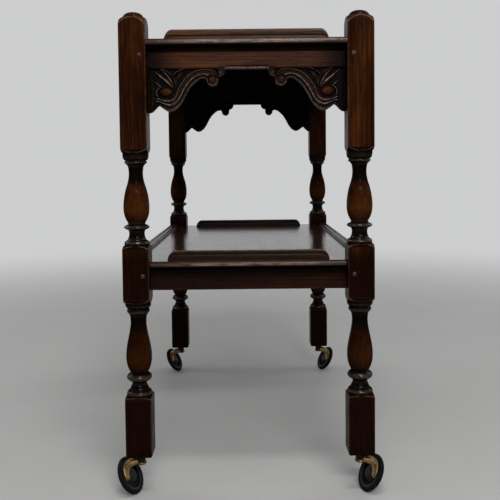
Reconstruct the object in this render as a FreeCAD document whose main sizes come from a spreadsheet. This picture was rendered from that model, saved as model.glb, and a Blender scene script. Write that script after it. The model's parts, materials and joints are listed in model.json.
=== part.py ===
import FreeCAD, Part
import math
import os
from types import SimpleNamespace

import Sketcher
from FreeCAD import Placement, Rotation, Vector

# Serving trolley: two oak shelves tenoned between four turned legs that stand on swivelling ball casters.
# Lengths are millimetres and angles degrees. +Z is up, +X runs across the trolley and +Y along it.
# The origin is on the floor, under the middle of the trolley.

DRIVING_SIZES = {
    # The whole trolley
    "overall_width": 408,
    "overall_length": 756,
    "overall_height": 790,
    "upper_shelf_height": 745,
    "lower_shelf_height": 385,
    "cut_overrun": 1,
    "joint_gap": 0.15,
    # Legs
    "leg_side": 43,
    "leg_arris": 2.5,
    "foot_clearance": 64.5,
    "foot_bevel_height": 3,
    "foot_bevel_depth": 2,
    "cap_drop": 18,
    "button_radius": 9.8,
    "button_height": 3,
    "upper_block_depth": 174,
    "lower_block_rise": 21,
    "lower_block_depth": 58,
    "foot_block_height": 96.5,
    # Shelf boards
    "upper_board_thickness": 11,
    "lower_board_thickness": 10,
    "upper_nosing_setback": 2,
    "lower_nosing_setback": 14,
    "side_nosing_setback": 2,
    "nosing_radius": 4,
    "leg_notch_gap": 0.3,
    "quirk_width": 1.2,
    "quirk_depth": 1,
    "quirk_inset": 8,
    # Rails and the carved friezes
    "rail_thickness": 17,
    "frieze_setback": 26,
    "frieze_height": 34,
    "bracket_reach": 122,
    "bracket_drop": 71,
    "upper_side_rail_height": 31,
    "lower_rail_setback": 24,
    "lower_rail_height": 37.5,
    "side_rail_setback": 8,
    "tenon_thickness": 8,
    "tenon_shoulder": 5,
    "end_tenon_length": 19,
    "side_tenon_length": 26,
    # Draw-bore pegs
    "peg_radius": 3.5,
    "peg_proud": 1.2,
    "peg_inset": 10,
    "upper_peg_drop": 26,
    "lower_peg_drop": 21,
    "end_peg_length": 41,
    "side_peg_length": 23,
    # Gallery strips and side mouldings
    "gallery_length": 270,
    "gallery_end_run": 13.5,
    "gallery_thickness": 9,
    "upper_gallery_height": 19,
    "lower_gallery_height": 15.5,
    "upper_gallery_setback": 30,
    "lower_gallery_setback": 38,
    "housing_depth": 3,
    "dowel_radius": 3,
    "dowel_depth": 5,
    "dowel_rise": 8,
    "dowel_spacing": 100,
    "moulding_width": 18,
    "moulding_height": 7,
    # Glue blocks and their screws
    "block_section": 14,
    "block_length": 40,
    "side_block_spacing": 220,
    "end_block_spacing": 110,
    "screw_radius": 2,
    "screw_head_radius": 4,
    "screw_head_height": 2.5,
    "screw_length": 19,
    # Casters
    "caster_offset": 18,
    "caster_heading": 18,
    "wheel_tilt": 29,
    "tread_radius": 4,
    "tyre_centre_radius": 27.3,
    "tyre_seat_radius": 25.3,
    "rim_inner_radius": 22,
    "rim_front": 3,
    "rim_back": 4,
    "bowl_depth": 13,
    "bowl_wall": 2.5,
    "hub_radius": 8,
    "running_gap": 0.05,
    "face_gap": 0.6,
    "hood_radius": 21.4,
    "hood_lip_inner_radius": 15,
    "hood_lip_height": 7.5,
    "hood_web_thickness": 3,
    "hood_sweep": 160,
    "hood_lead": 40,
    "neck_width": 18,
    "neck_lead": 9,
    "boss_radius": 10,
    "boss_height": 15,
    "stem_radius": 4,
    "stem_rise": 32,
    "stem_foot": 9,
    "socket_radius": 6,
    "socket_depth": 36,
    "socket_flange_radius": 10,
    "socket_flange_thickness": 1.5,
    "axle_radius": 3,
    "axle_head_radius": 6,
    "axle_head_height": 2,
    "axle_nose": 2,
    "hub_cap_radius": 14.5,
    "hub_cap_height": 7,
}

# Turned profiles, from one square block down to the next, as shares of half the leg's side (outwards) and of
# the turning's length (downwards). A pair is an arc: a point that it passes through, and its end.
UPPER_TURNING_SHARES = [
    (1.45, 0.0),
    ((1.27, 0.026), (0.99, 0.036)),
    (0.99, 0.077),
    ((0.94, 0.107), (0.82, 0.119)),
    (0.80, 0.127),
    ((0.86, 0.138), (0.80, 0.149)),
    ((0.63, 0.170), (0.57, 0.196)),
    ((0.555, 0.285), (0.76, 0.390)),
    ((0.925, 0.485), (0.985, 0.575)),
    ((0.915, 0.660), (0.68, 0.728)),
    (0.65, 0.750),
    ((0.972, 0.778), (0.65, 0.806)),
    ((0.585, 0.845), (0.66, 0.888)),
    ((0.75, 0.908), (0.88, 0.916)),
    ((0.965, 0.936), (0.93, 0.956)),
    (0.99, 0.960),
    ((1.24, 0.972), (1.45, 1.0)),
]
LOWER_TURNING_SHARES = [
    (1.45, 0.0),
    ((1.27, 0.033), (0.99, 0.050)),
    ((0.975, 0.080), (0.90, 0.098)),
    (0.80, 0.110),
    ((0.87, 0.132), (0.80, 0.154)),
    ((0.655, 0.178), (0.605, 0.228)),
    ((0.625, 0.290), (0.755, 0.385)),
    ((0.925, 0.495), (0.985, 0.575)),
    ((0.935, 0.660), (0.72, 0.735)),
    (0.67, 0.752),
    ((0.972, 0.796), (0.66, 0.838)),
    ((0.565, 0.858), (0.63, 0.886)),
    ((0.74, 0.916), (0.90, 0.936)),
    ((0.985, 0.956), (0.95, 0.976)),
    (0.99, 0.980),
    ((1.24, 0.988), (1.45, 1.0)),
]
# The leg's cap, from its corners up to its button: shares of half the leg's side and of the cap's drop.
CAP_SHARES = [
    (1.45, 1.0),
    (0.99, 0.70),
    ((0.965, 0.52), (0.87, 0.42)),
]
BUTTON_DOME_SHARE = (0.66, 0.30)
# One scrolled bracket of the frieze, from the leg inwards: shares of its reach and of its drop.
BRACKET_SHARES = [
    (0.0, 1.0),
    ((0.060, 0.945), (0.1185, 0.839)),
    ((0.281, 0.976), (0.424, 0.806)),
    (0.508, 0.556),
    ((0.613, 0.300), (0.769, 0.222)),
    ((0.836, 0.379), (0.902, 0.236)),
    ((0.935, 0.160), (0.985, 0.150)),
    (1.0, 0.0),
]
# The side moulding's section, from its outer edge inwards: shares of its width and of its height.
MOULDING_SHARES = [
    (0.0, 0.35),
    ((0.22, 1.0), (0.44, 0.45)),
    (0.50, 0.45),
    (0.54, 0.80),
    ((0.78, 0.85), (1.0, 0.55)),
]
GALLERY_END_BELLY_SHARE = (0.30, 0.68)
PEG_DOME_SHARE = (0.70, 0.72)
BOWL_BELLY_SHARE = (0.64, 0.28)
CAP_DOME_SHARE = (0.76, 0.70)
CROWN_FLAT_SHARE = 0.2
NECK_ROOT_SHARE = 0.5

LEFT, RIGHT = -1, 1
FRONT, BACK = -1, 1
SIDE_NAMES = {LEFT: "left", RIGHT: "right"}
END_NAMES = {FRONT: "front", BACK: "back"}

doc = FreeCAD.newDocument("serving_trolley")
sheet = doc.addObject("Spreadsheet::Sheet", "Sizes")
for row, (alias, value) in enumerate(DRIVING_SIZES.items(), start=1):
    sheet.set(f"A{row}", alias)
    sheet.set(f"B{row}", str(value))
    sheet.setAlias(f"B{row}", alias)
doc.recompute()


class Size:
    """A length or an angle, held as a number and as the sheet formula that it is bound to."""

    def __init__(self, number, formula):
        self.number = number
        self.formula = formula

    def __add__(self, other):
        other = as_size(other)
        return Size(self.number + other.number, f"({self.formula} + {other.formula})")

    def __sub__(self, other):
        other = as_size(other)
        return Size(self.number - other.number, f"({self.formula} - {other.formula})")

    def __mul__(self, share):
        share = as_size(share)
        return Size(self.number * share.number, f"({self.formula} * {share.formula})")

    def __truediv__(self, share):
        share = as_size(share)
        return Size(self.number / share.number, f"({self.formula} / {share.formula})")

    def __neg__(self):
        return self * -1

    __rmul__ = __mul__


def as_size(value):
    return value if isinstance(value, Size) else Size(float(value), f"({float(value)!r})")


def cosine(angle):
    return Size(math.cos(math.radians(angle.number)), f"cos({angle.formula} * 1 deg)")


def sine(angle):
    return Size(math.sin(math.radians(angle.number)), f"sin({angle.formula} * 1 deg)")


size = SimpleNamespace(**{alias: Size(float(sheet.get(alias)), f"Sizes.{alias}") for alias in DRIVING_SIZES})

# Places that several pieces share
half_width = size.overall_width / 2
half_length = size.overall_length / 2
half_leg = size.leg_side / 2
leg_inner_x = half_width - size.leg_side
leg_inner_y = half_length - size.leg_side
leg_axis_x = half_width - half_leg
leg_axis_y = half_length - half_leg
upper_board_bottom = size.upper_shelf_height - size.upper_board_thickness
lower_board_bottom = size.lower_shelf_height - size.lower_board_thickness
frieze_bottom = upper_board_bottom - size.frieze_height

sub_parts = []


def keep(item):
    """Marks an object as a finished sub-part, to be written under its label."""
    sub_parts.append(item)
    return item


def bind(item, prop, value):
    item.setExpression(prop, as_size(value).formula)


def place(item, x, y, z, turn=Rotation()):
    item.Placement = Placement(Vector(*(as_size(v).number for v in (x, y, z))), turn)
    for axis, value in zip("xyz", (x, y, z)):
        bind(item, f"Placement.Base.{axis}", value)


def span(sign, near, far):
    """The low and high ends of a stretch that lies from near to far on one side of the middle."""
    return (near, far) if sign > 0 else (-far, -near)


def about(centre, length):
    return centre - length / 2, centre + length / 2


def block(name, x, y, z):
    box = doc.addObject("Part::Box", name)
    for prop, (low, high) in zip(("Length", "Width", "Height"), (x, y, z)):
        bind(box, prop, high - low)
    place(box, x[0], y[0], z[0])
    return box


def rod(name, radius, length, start, turn=Rotation()):
    cylinder = doc.addObject("Part::Cylinder", name)
    bind(cylinder, "Radius", radius)
    bind(cylinder, "Height", length)
    place(cylinder, *start, turn)
    return cylinder


def fuse(name, shapes):
    joined = doc.addObject("Part::MultiFuse", name)
    joined.Shapes = shapes
    return joined


def group(name, shapes):
    compound = doc.addObject("Part::Compound", name)
    compound.Links = shapes
    return compound


def cut(name, base, tools):
    less = doc.addObject("Part::Cut", name)
    less.Base = base
    less.Tool = tools[0] if len(tools) == 1 else fuse(f"{name}_cuts", tools)
    return less


def new_body(name):
    return doc.addObject("PartDesign::Body", name)


def sketch_on(body, plane, offset=None):
    sketch = body.newObject("Sketcher::SketchObject", f"{body.Name}_sketch")
    sketch.AttachmentSupport = [(next(f for f in body.Origin.OriginFeatures if f.Role == plane), "")]
    sketch.MapMode = "FlatFace"
    if offset is not None:
        bind(sketch, "AttachmentOffset.Base.z", offset)
    return sketch


def draw(sketch, outline):
    """Draws a closed outline: a first corner, then corners, or pairs of an arc's middle point and its end."""
    rules, formulas, edges = [], [], []
    corners = [step[1] if isinstance(step[0], tuple) else step for step in outline]

    def flat(point):
        return Vector(as_size(point[0]).number, as_size(point[1]).number, 0)

    def pin(geometry, end, point):
        for kind, value in zip(("DistanceX", "DistanceY"), point):
            formulas.append((len(rules), as_size(value).formula))
            rules.append(Sketcher.Constraint(kind, -1, 1, geometry, end, as_size(value).number))

    for here, there, step in zip(corners, corners[1:] + corners[:1], outline[1:] + outline[:1]):
        first = 1
        if isinstance(step[0], tuple):
            edge = sketch.addGeometry(Part.Arc(flat(here), flat(step[0]), flat(there)), False)
            through = sketch.addGeometry(Part.Point(flat(step[0])), True)
            pin(through, 1, step[0])
            rules.append(Sketcher.Constraint("PointOnObject", through, 1, edge))
            to_here = sketch.getPoint(edge, 1).distanceToPoint(flat(here))
            first = 1 if to_here < sketch.getPoint(edge, 1).distanceToPoint(flat(there)) else 2
        else:
            edge = sketch.addGeometry(Part.LineSegment(flat(here), flat(there)), False)
        pin(edge, first, here)
        edges.append((edge, first))
    for (edge, first), (following, start) in zip(edges, edges[1:] + edges[:1]):
        rules.append(Sketcher.Constraint("Coincident", edge, 3 - first, following, start))
    sketch.addConstraint(rules)
    for index, formula in formulas:
        sketch.setExpression(f"Constraints[{index}]", formula)


def pad(body, plane, outline, offset, length):
    """A prism from the plane's offset, along the plane's normal."""
    sketch = sketch_on(body, plane, offset)
    draw(sketch, outline)
    feature = body.newObject("PartDesign::Pad", f"{body.Name}_pad")
    feature.Profile = sketch
    bind(feature, "Length", length)
    return feature


def plank(body, outline, y):
    """A prism with its outline in X and Z between two places along Y; the XZ plane faces -Y."""
    return pad(body, "XZ_Plane", outline, -y[1], y[1] - y[0])


def turn_round(body, kind, outline, sweep=None):
    """A turned solid or a turned cut: the outline in radius and height, about the body's own Z."""
    sketch = sketch_on(body, "XZ_Plane")
    draw(sketch, outline)
    feature = body.newObject(f"PartDesign::{kind}", f"{body.Name}_turning")
    feature.Profile = sketch
    feature.ReferenceAxis = (sketch, ["V_Axis"])
    if sweep is not None:
        bind(feature, "Angle", sweep)
    return feature


def dress(body, kind, base, chosen, **sizes):
    """A fillet or chamfer along the edges of base that the chosen test picks."""
    doc.recompute()
    names = [f"Edge{i}" for i, edge in enumerate(base.Shape.Edges, start=1) if chosen(edge)]
    feature = body.newObject(f"PartDesign::{kind}", f"{body.Name}_{kind.lower()}")
    feature.Base = (base, names)
    for prop, value in sizes.items():
        bind(feature, prop, value)
    return feature


def at(shares, across, down, origin):
    """An outline from a table of shares; origin is the place of its zero share."""
    def point(share):
        return origin[0] + across * share[0], origin[1] + down * share[1]

    return [tuple(map(point, step)) if isinstance(step[0], tuple) else point(step) for step in shares]


def reversed_mirror(path):
    """The same path on the other side of X = 0, run backwards."""
    def flip(point):
        return -point[0], point[1]

    ends = [step[1] if isinstance(step[0], tuple) else step for step in path]
    mirrored = [flip(ends[-1])]
    for step, before in zip(path[:0:-1], ends[-2::-1]):
        mirrored.append((flip(step[0]), flip(before)) if isinstance(step[0], tuple) else flip(before))
    return mirrored


def rectangle(x, y):
    return [(x[0], y[0]), (x[1], y[0]), (x[1], y[1]), (x[0], y[1])]


def is_upright(edge):
    return edge.BoundBox.ZLength > max(edge.BoundBox.XLength, edge.BoundBox.YLength)


# Mortise and tenon joints: each rail's two tenons are the ends of one bar through it, and the mortises are
# the same bar with the joint's gap all round.
def tenon_bar(name, rail, gap):
    slack = size.joint_gap * gap
    return block(name, *((low - slack, high + slack) for low, high in rail.bar))


def end_rail_layout(end, setback, bottom, top):
    y_far = half_length - setback
    y_mid = y_far - size.rail_thickness / 2
    reach = leg_inner_x + size.end_tenon_length
    shoulders = (bottom + size.tenon_shoulder, top - size.tenon_shoulder)
    return SimpleNamespace(
        x=(-leg_inner_x, leg_inner_x),
        y=span(end, y_far - size.rail_thickness, y_far),
        z=(bottom, top),
        bar=[(-reach, reach), span(end, *about(y_mid, size.tenon_thickness)), shoulders],
    )


def side_rail_layout(side, bottom, top):
    x_far = half_width - size.side_rail_setback
    x_mid = x_far - size.rail_thickness / 2
    reach = leg_inner_y + size.side_tenon_length
    shoulders = (bottom + size.tenon_shoulder, top - size.tenon_shoulder)
    return SimpleNamespace(
        x=span(side, x_far - size.rail_thickness, x_far),
        y=(-leg_inner_y, leg_inner_y),
        z=(bottom, top),
        bar=[span(side, *about(x_mid, size.tenon_thickness)), (-reach, reach), shoulders],
    )


lower_rail_bottom = lower_board_bottom - size.lower_rail_height
upper_side_rail_bottom = upper_board_bottom - size.upper_side_rail_height
upper_edges = (upper_side_rail_bottom, upper_board_bottom)
lower_edges = (lower_rail_bottom, lower_board_bottom)
friezes = {
    end: end_rail_layout(end, size.frieze_setback, frieze_bottom, upper_board_bottom) for end in END_NAMES
}
lower_end_rails = {end: end_rail_layout(end, size.lower_rail_setback, *lower_edges) for end in END_NAMES}
upper_side_rails = {side: side_rail_layout(side, *upper_edges) for side in SIDE_NAMES}
lower_side_rails = {side: side_rail_layout(side, *lower_edges) for side in SIDE_NAMES}


# Draw-bore pegs: each starts a little proud of a leg's outer face and runs through a tenon.
def peg_outline(length):
    radius, proud = size.peg_radius, size.peg_proud
    shoulder = length - proud
    dome = (radius * PEG_DOME_SHARE[0], shoulder + proud * PEG_DOME_SHARE[1])
    crown = (radius * CROWN_FLAT_SHARE, length)
    zero = as_size(0)
    return [(zero, zero), (radius, zero), (radius, shoulder), (dome, crown), (zero, length)]


def peg_places():
    """Each peg: its level, side, end and height, whether it is in an end rail, and its length in the leg."""
    for level, height in (
        ("upper", size.upper_shelf_height - size.upper_peg_drop),
        ("lower", size.lower_shelf_height - size.lower_peg_drop),
    ):
        for side in SIDE_NAMES:
            for end in END_NAMES:
                yield level, side, end, height, True, size.end_peg_length
                yield level, side, end, height, False, size.side_peg_length


def peg_frame(side, end, height, in_end_rail, length):
    """The inner end of a peg and the turn that points it out of the leg."""
    if in_end_rail:
        start = ((leg_inner_x + size.peg_inset) * side, (half_length - length) * end, height)
        return start, Rotation(Vector(1, 0, 0), -90 * end)
    start = ((half_width - length) * side, (leg_inner_y + size.peg_inset) * end, height)
    return start, Rotation(Vector(0, 1, 0), 90 * side)


def peg_hole(name, side, end, height, in_end_rail, length):
    start, turn = peg_frame(side, end, height, in_end_rail, length)
    return rod(name, size.peg_radius + size.joint_gap, length + size.cut_overrun, start, turn)


def make_pegs():
    pegs = []
    for level, side, end, height, in_end_rail, length in peg_places():
        body = new_body(f"{level}_{END_NAMES[end]}_{SIDE_NAMES[side]}_{'end' if in_end_rail else 'side'}_peg")
        turn_round(body, "Revolution", peg_outline(length + size.peg_proud))
        start, turn = peg_frame(side, end, height, in_end_rail, length)
        place(body, *start, turn)
        pegs.append(body)
    keep(group("rail_pegs", pegs))


# Legs
def turned_blank(name):
    body = new_body(name)
    square = rectangle((-half_leg, half_leg), (-half_leg, half_leg))
    top = size.overall_height
    blank = pad(body, "XY_Plane", square, size.foot_clearance, top - size.foot_clearance)
    foot_edge = size.foot_clearance.number + size.cut_overrun.number
    bevel = dress(
        body,
        "Chamfer",
        blank,
        lambda edge: edge.BoundBox.ZMax < foot_edge,
        Size=size.foot_bevel_height,
        Size2=size.foot_bevel_depth,
    )
    bevel.ChamferType = "Two distances"
    dress(body, "Fillet", bevel, is_upright, Radius=size.leg_arris)
    bun = at(CAP_SHARES, half_leg, -size.cap_drop, (as_size(0), top))
    button, crown = size.button_radius, size.button_radius * CROWN_FLAT_SHARE
    dome = (button * BUTTON_DOME_SHARE[0], top - size.button_height * BUTTON_DOME_SHARE[1])
    over = top + size.cut_overrun
    cap = bun + [(button, top - size.button_height), (dome, (crown, top)), (crown, over), (bun[0][0], over)]
    turn_round(body, "Groove", cap)
    upper_top = size.upper_shelf_height - size.upper_block_depth
    upper_end = size.lower_shelf_height + size.lower_block_rise
    lower_top = size.lower_shelf_height - size.lower_block_depth
    lower_end = size.foot_clearance + size.foot_block_height
    for shares, high, low in (
        (UPPER_TURNING_SHARES, upper_top, upper_end),
        (LOWER_TURNING_SHARES, lower_top, lower_end),
    ):
        turn_round(body, "Groove", at(shares, half_leg, low - high, (as_size(0), high)))
    return body


def make_leg(side, end):
    name = f"leg_{END_NAMES[end]}_{SIDE_NAMES[side]}"
    blank = turned_blank(f"{name}_blank")
    place(blank, leg_axis_x * side, leg_axis_y * end, as_size(0))
    tools = [
        tenon_bar(f"{name}_{label}_mortise", rail, gap=1)
        for label, rail in (
            ("frieze", friezes[end]),
            ("lower_end", lower_end_rails[end]),
            ("upper_side", upper_side_rails[side]),
            ("lower_side", lower_side_rails[side]),
        )
    ]
    for level, peg_side, peg_end, *rest in peg_places():
        if (peg_side, peg_end) == (side, end):
            tools.append(peg_hole(f"{name}_{level}_peg_hole", side, end, *rest))
    bore = size.socket_depth + size.cut_overrun * 2
    bottom = size.foot_clearance - size.cut_overrun
    axis = (leg_axis_x * side, leg_axis_y * end, bottom)
    tools.append(rod(f"{name}_socket_bore", size.socket_radius + size.joint_gap, bore, axis))
    keep(cut(name, blank, tools))


# Rails
def make_end_rail(name, layout, end, level, outline):
    body = new_body(f"{name}_plank")
    plank(body, outline, layout.y)
    tenoned = fuse(f"{name}_tenoned", [body, tenon_bar(f"{name}_tenons", layout, gap=0)])
    holes = [
        peg_hole(f"{name}_peg_hole", side, end, *rest)
        for peg_level, side, peg_end, *rest in peg_places()
        if rest[1] and (peg_level, peg_end) == (level, end)
    ]
    keep(cut(name, tenoned, holes))


def make_side_rail(name, layout, side, level):
    plain = block(f"{name}_plank", layout.x, layout.y, layout.z)
    tenoned = fuse(f"{name}_tenoned", [plain, tenon_bar(f"{name}_tenons", layout, gap=0)])
    holes = [
        peg_hole(f"{name}_peg_hole", side, end, *rest)
        for peg_level, peg_side, end, *rest in peg_places()
        if not rest[1] and (peg_level, peg_side) == (level, side)
    ]
    keep(cut(name, tenoned, holes))


def frieze_outline():
    left = at(BRACKET_SHARES, size.bracket_reach, -size.bracket_drop, (-leg_inner_x, frieze_bottom))
    top_left, top_right = (-leg_inner_x, upper_board_bottom), (leg_inner_x, upper_board_bottom)
    return [top_left] + left + reversed_mirror(left) + [top_right]


def make_rails():
    for end, end_name in END_NAMES.items():
        make_end_rail(f"upper_end_frieze_{end_name}", friezes[end], end, "upper", frieze_outline())
        plain = lower_end_rails[end]
        make_end_rail(f"lower_end_rail_{end_name}", plain, end, "lower", rectangle(plain.x, plain.z))
    for side, side_name in SIDE_NAMES.items():
        make_side_rail(f"upper_side_rail_{side_name}", upper_side_rails[side], side, "upper")
        make_side_rail(f"lower_side_rail_{side_name}", lower_side_rails[side], side, "lower")


# Shelves: a notched board, and the strips that are let into its top
upper_shelf = SimpleNamespace(
    name="upper",
    top=size.upper_shelf_height,
    bottom=upper_board_bottom,
    thickness=size.upper_board_thickness,
    nose_y=half_length - size.upper_nosing_setback,
    gallery_setback=size.upper_gallery_setback,
    gallery_height=size.upper_gallery_height,
    end_rails=friezes,
    side_rails=upper_side_rails,
)
lower_shelf = SimpleNamespace(
    name="lower",
    top=size.lower_shelf_height,
    bottom=lower_board_bottom,
    thickness=size.lower_board_thickness,
    nose_y=half_length - size.lower_nosing_setback,
    gallery_setback=size.lower_gallery_setback,
    gallery_height=size.lower_gallery_height,
    end_rails=lower_end_rails,
    side_rails=lower_side_rails,
)
nose_x = half_width - size.side_nosing_setback
notch_x = leg_inner_x - size.leg_notch_gap
notch_y = leg_inner_y - size.leg_notch_gap


def gallery_y(shelf, end, gap):
    far = half_length - shelf.gallery_setback
    return span(end, far - size.gallery_thickness - gap, far + gap)


def dowel_places(shelf):
    """The foot of each gallery dowel."""
    middle = half_length - shelf.gallery_setback - size.gallery_thickness / 2
    for end in END_NAMES:
        for step in (-1, 0, 1):
            yield size.dowel_spacing * step, middle * end, shelf.top - size.housing_depth - size.dowel_depth


def block_places(shelf):
    """Each glue block's stretch in X and in Y, in the angle under the board beside a rail."""
    for side, rail in shelf.side_rails.items():
        face = rail.x[0] * side if side == RIGHT else rail.x[1] * side
        for step in (-1, 0, 1):
            middle = size.side_block_spacing * step
            yield span(side, face - size.block_section, face), about(middle, size.block_length)
    for end, rail in shelf.end_rails.items():
        face = rail.y[0] * end if end == BACK else rail.y[1] * end
        for step in (LEFT, RIGHT):
            middle = size.end_block_spacing / 2 * step
            yield about(middle, size.block_length), span(end, face - size.block_section, face)


def screw_places(shelf):
    for x, y in block_places(shelf):
        yield (x[0] + x[1]) / 2, (y[0] + y[1]) / 2, shelf.bottom - size.block_section


def screw_outline():
    shank, head, depth = size.screw_radius, size.screw_head_radius, size.screw_head_height
    zero = as_size(0)
    return [(zero, zero), (head, zero), (shank, depth), (shank, size.screw_length), (zero, size.screw_length)]


def screw_hole_outline():
    gap, over = size.joint_gap, size.cut_overrun
    shank, head, depth = size.screw_radius + gap, size.screw_head_radius + gap, size.screw_head_height
    zero, top = as_size(0), size.screw_length + gap
    return [(zero, -over), (head, -over), (head, zero), (shank, depth), (shank, top), (zero, top)]


def turned_at(name, outline, spot):
    body = new_body(name)
    turn_round(body, "Revolution", outline)
    place(body, *spot)
    return body


def board_outline(nose_y):
    right_front = [(notch_x, -nose_y), (notch_x, -notch_y), (nose_x, -notch_y)]
    right_back = [(nose_x, notch_y), (notch_x, notch_y), (notch_x, nose_y)]
    right = right_front + right_back
    return right + reversed_mirror(right)


def make_board(shelf):
    name = f"{shelf.name}_shelf_board"
    body = new_body(f"{name}_blank")
    board = pad(body, "XY_Plane", board_outline(shelf.nose_y), shelf.bottom, shelf.thickness)
    nose, side_nose, top = shelf.nose_y.number, nose_x.number, shelf.top.number

    def on_nosing(edge):
        box, near = edge.BoundBox, size.joint_gap.number
        on_end = box.YLength < near and abs(abs(box.Center.y) - nose) < near and box.ZLength < near
        on_side = box.XLength < near and abs(abs(box.Center.x) - side_nose) < near and box.ZMax < top - near
        return on_end or on_side

    dress(body, "Fillet", board, on_nosing, Radius=size.nosing_radius)
    gap, over = size.joint_gap, size.cut_overrun
    half_gallery = size.gallery_length / 2 + gap
    housing = (shelf.top - size.housing_depth, shelf.top + over)
    tools = []
    for side, side_name in SIDE_NAMES.items():
        inner, outer = nose_x - size.moulding_width - gap, nose_x + over
        x, y = span(side, inner, outer), (-notch_y - over, notch_y + over)
        tools.append(block(f"{name}_rebate_{side_name}", x, y, housing))
    quirk_z = (shelf.top - size.quirk_depth, shelf.top + over)
    for end, end_name in END_NAMES.items():
        y = gallery_y(shelf, end, gap)
        tools.append(block(f"{name}_groove_{end_name}", (-half_gallery, half_gallery), y, housing))
        far = shelf.nose_y - size.quirk_inset
        quirk_y = span(end, far - size.quirk_width, far)
        tools.append(block(f"{name}_quirk_{end_name}", (-notch_x - over, notch_x + over), quirk_y, quirk_z))
    hole_radius, hole_length = size.dowel_radius + gap, size.dowel_depth + over
    tools += [rod(f"{name}_dowel_hole", hole_radius, hole_length, spot) for spot in dowel_places(shelf)]
    tools += [turned_at(f"{name}_screw_hole", screw_hole_outline(), spot) for spot in screw_places(shelf)]
    keep(cut(name, body, tools))


def make_gallery(shelf, end):
    name = f"{shelf.name}_gallery_{END_NAMES[end]}"
    body = new_body(f"{name}_strip")
    foot, top = shelf.top - size.housing_depth, shelf.top + shelf.gallery_height
    half, run = size.gallery_length / 2, size.gallery_end_run
    belly_x, belly_z = GALLERY_END_BELLY_SHARE
    belly = (half - run * belly_x, shelf.top + shelf.gallery_height * belly_z)
    right = [(half, foot), (half, shelf.top), (belly, (half - run, top))]
    plank(body, right + reversed_mirror(right), gallery_y(shelf, end, as_size(0)))
    length = size.dowel_depth + size.dowel_rise + size.joint_gap
    holes = [
        rod(f"{name}_dowel_hole", size.dowel_radius + size.joint_gap, length, spot)
        for spot in dowel_places(shelf)
        if spot[1].number * end > 0
    ]
    keep(cut(name, body, holes))


def make_moulding(shelf, side):
    body = new_body(f"{shelf.name}_side_moulding_{SIDE_NAMES[side]}")
    outer, foot = nose_x * side, shelf.top - size.housing_depth
    section = at(MOULDING_SHARES, size.moulding_width * -side, size.moulding_height, (outer, shelf.top))
    inner = (nose_x - size.moulding_width) * side
    plank(body, [(outer, foot)] + section + [(inner, foot)], (-notch_y, notch_y))
    keep(body)


def make_dowels_blocks_screws():
    dowels, screws = [], []
    for shelf in (upper_shelf, lower_shelf):
        length = size.dowel_depth + size.dowel_rise
        dowels += [rod("gallery_dowel", size.dowel_radius, length, spot) for spot in dowel_places(shelf)]
        screws += [turned_at("shelf_screw", screw_outline(), spot) for spot in screw_places(shelf)]
        z = (shelf.bottom - size.block_section, shelf.bottom)
        blocks = []
        for (x, y), spot in zip(block_places(shelf), screw_places(shelf)):
            hole = turned_at("glue_block_hole", screw_hole_outline(), spot)
            blocks.append(cut("glue_block", block("glue_block_blank", x, y, z), [hole]))
        keep(group(f"{shelf.name}_glue_blocks", blocks))
    keep(group("gallery_dowels", dowels))
    keep(group("shelf_screws", screws))


# Casters: each turns on an upright stem in the foot's socket, and its dished wheel leans on a slanted axle.
tilt_cos, tilt_sin = cosine(size.wheel_tilt), sine(size.wheel_tilt)
heading_cos, heading_sin = cosine(size.caster_heading), sine(size.caster_heading)
wheel_height = size.tyre_centre_radius * tilt_cos + size.tread_radius
wheel_out = size.caster_offset * heading_cos
wheel_trail = size.caster_offset * heading_sin
web_front = -(size.rim_back - size.hood_web_thickness)
web_back = -size.rim_back
hub_front = web_back - size.face_gap
bowl_back = -size.bowl_depth
boss_top = size.foot_clearance - size.socket_flange_thickness - size.face_gap
boss_bottom = boss_top - size.boss_height
lip_top = web_front + size.hood_lip_height


def caster_heading(side):
    """The turn about the upright that points a caster's open side inwards and towards the front."""
    heading = size.caster_heading.number
    return Rotation(Vector(0, 0, 1), -heading if side == LEFT else 180 + heading)


def on_stem(item, side, end, z=as_size(0)):
    place(item, leg_axis_x * side, leg_axis_y * end, z, caster_heading(side))
    return item


def on_axle(item, side, end, spin=0):
    """Puts a piece with its Z on the wheel's axle, its zero in the plane of the rim, and X down the rim."""
    lean = Rotation(Vector(0, 1, 0), 90 - size.wheel_tilt.number)
    turn = caster_heading(side) * lean * Rotation(Vector(0, 0, 1), spin)
    place(item, (leg_axis_x + size.caster_offset) * side, leg_axis_y * end, wheel_height, turn)
    return item


def make_wheel(name, side, end):
    zero = as_size(0)
    bore, hub = size.axle_radius + size.running_gap, size.hub_radius
    seat, inner = size.tyre_seat_radius - size.joint_gap, size.rim_inner_radius
    outer_root = bowl_back + size.axle_head_height
    inner_root = outer_root + size.bowl_wall

    def belly(rim, root):
        across, along = BOWL_BELLY_SHARE
        return rim - (rim - hub) * (1 - across), root + (-size.rim_back - root) * along

    wheel = new_body(f"{name}_wheel")
    outline = [
        (bore, bowl_back),
        (hub, bowl_back),
        (hub, outer_root),
        (belly(seat, outer_root), (seat, -size.rim_back)),
        (seat, size.rim_front),
        (inner, size.rim_front),
        (inner, hub_front),
        (belly(inner, inner_root), (hub, inner_root)),
        (hub, hub_front),
        (bore, hub_front),
    ]
    turn_round(wheel, "Revolution", outline)
    keep(on_axle(wheel, side, end))
    tread, centre, foot = size.tread_radius, size.tyre_centre_radius, size.tyre_seat_radius
    tyre = new_body(f"{name}_tyre")
    ring = [(foot, -tread), (centre, -tread), ((centre + tread, zero), (centre, tread)), (foot, tread)]
    turn_round(tyre, "Revolution", ring)
    keep(on_axle(tyre, side, end))


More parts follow.
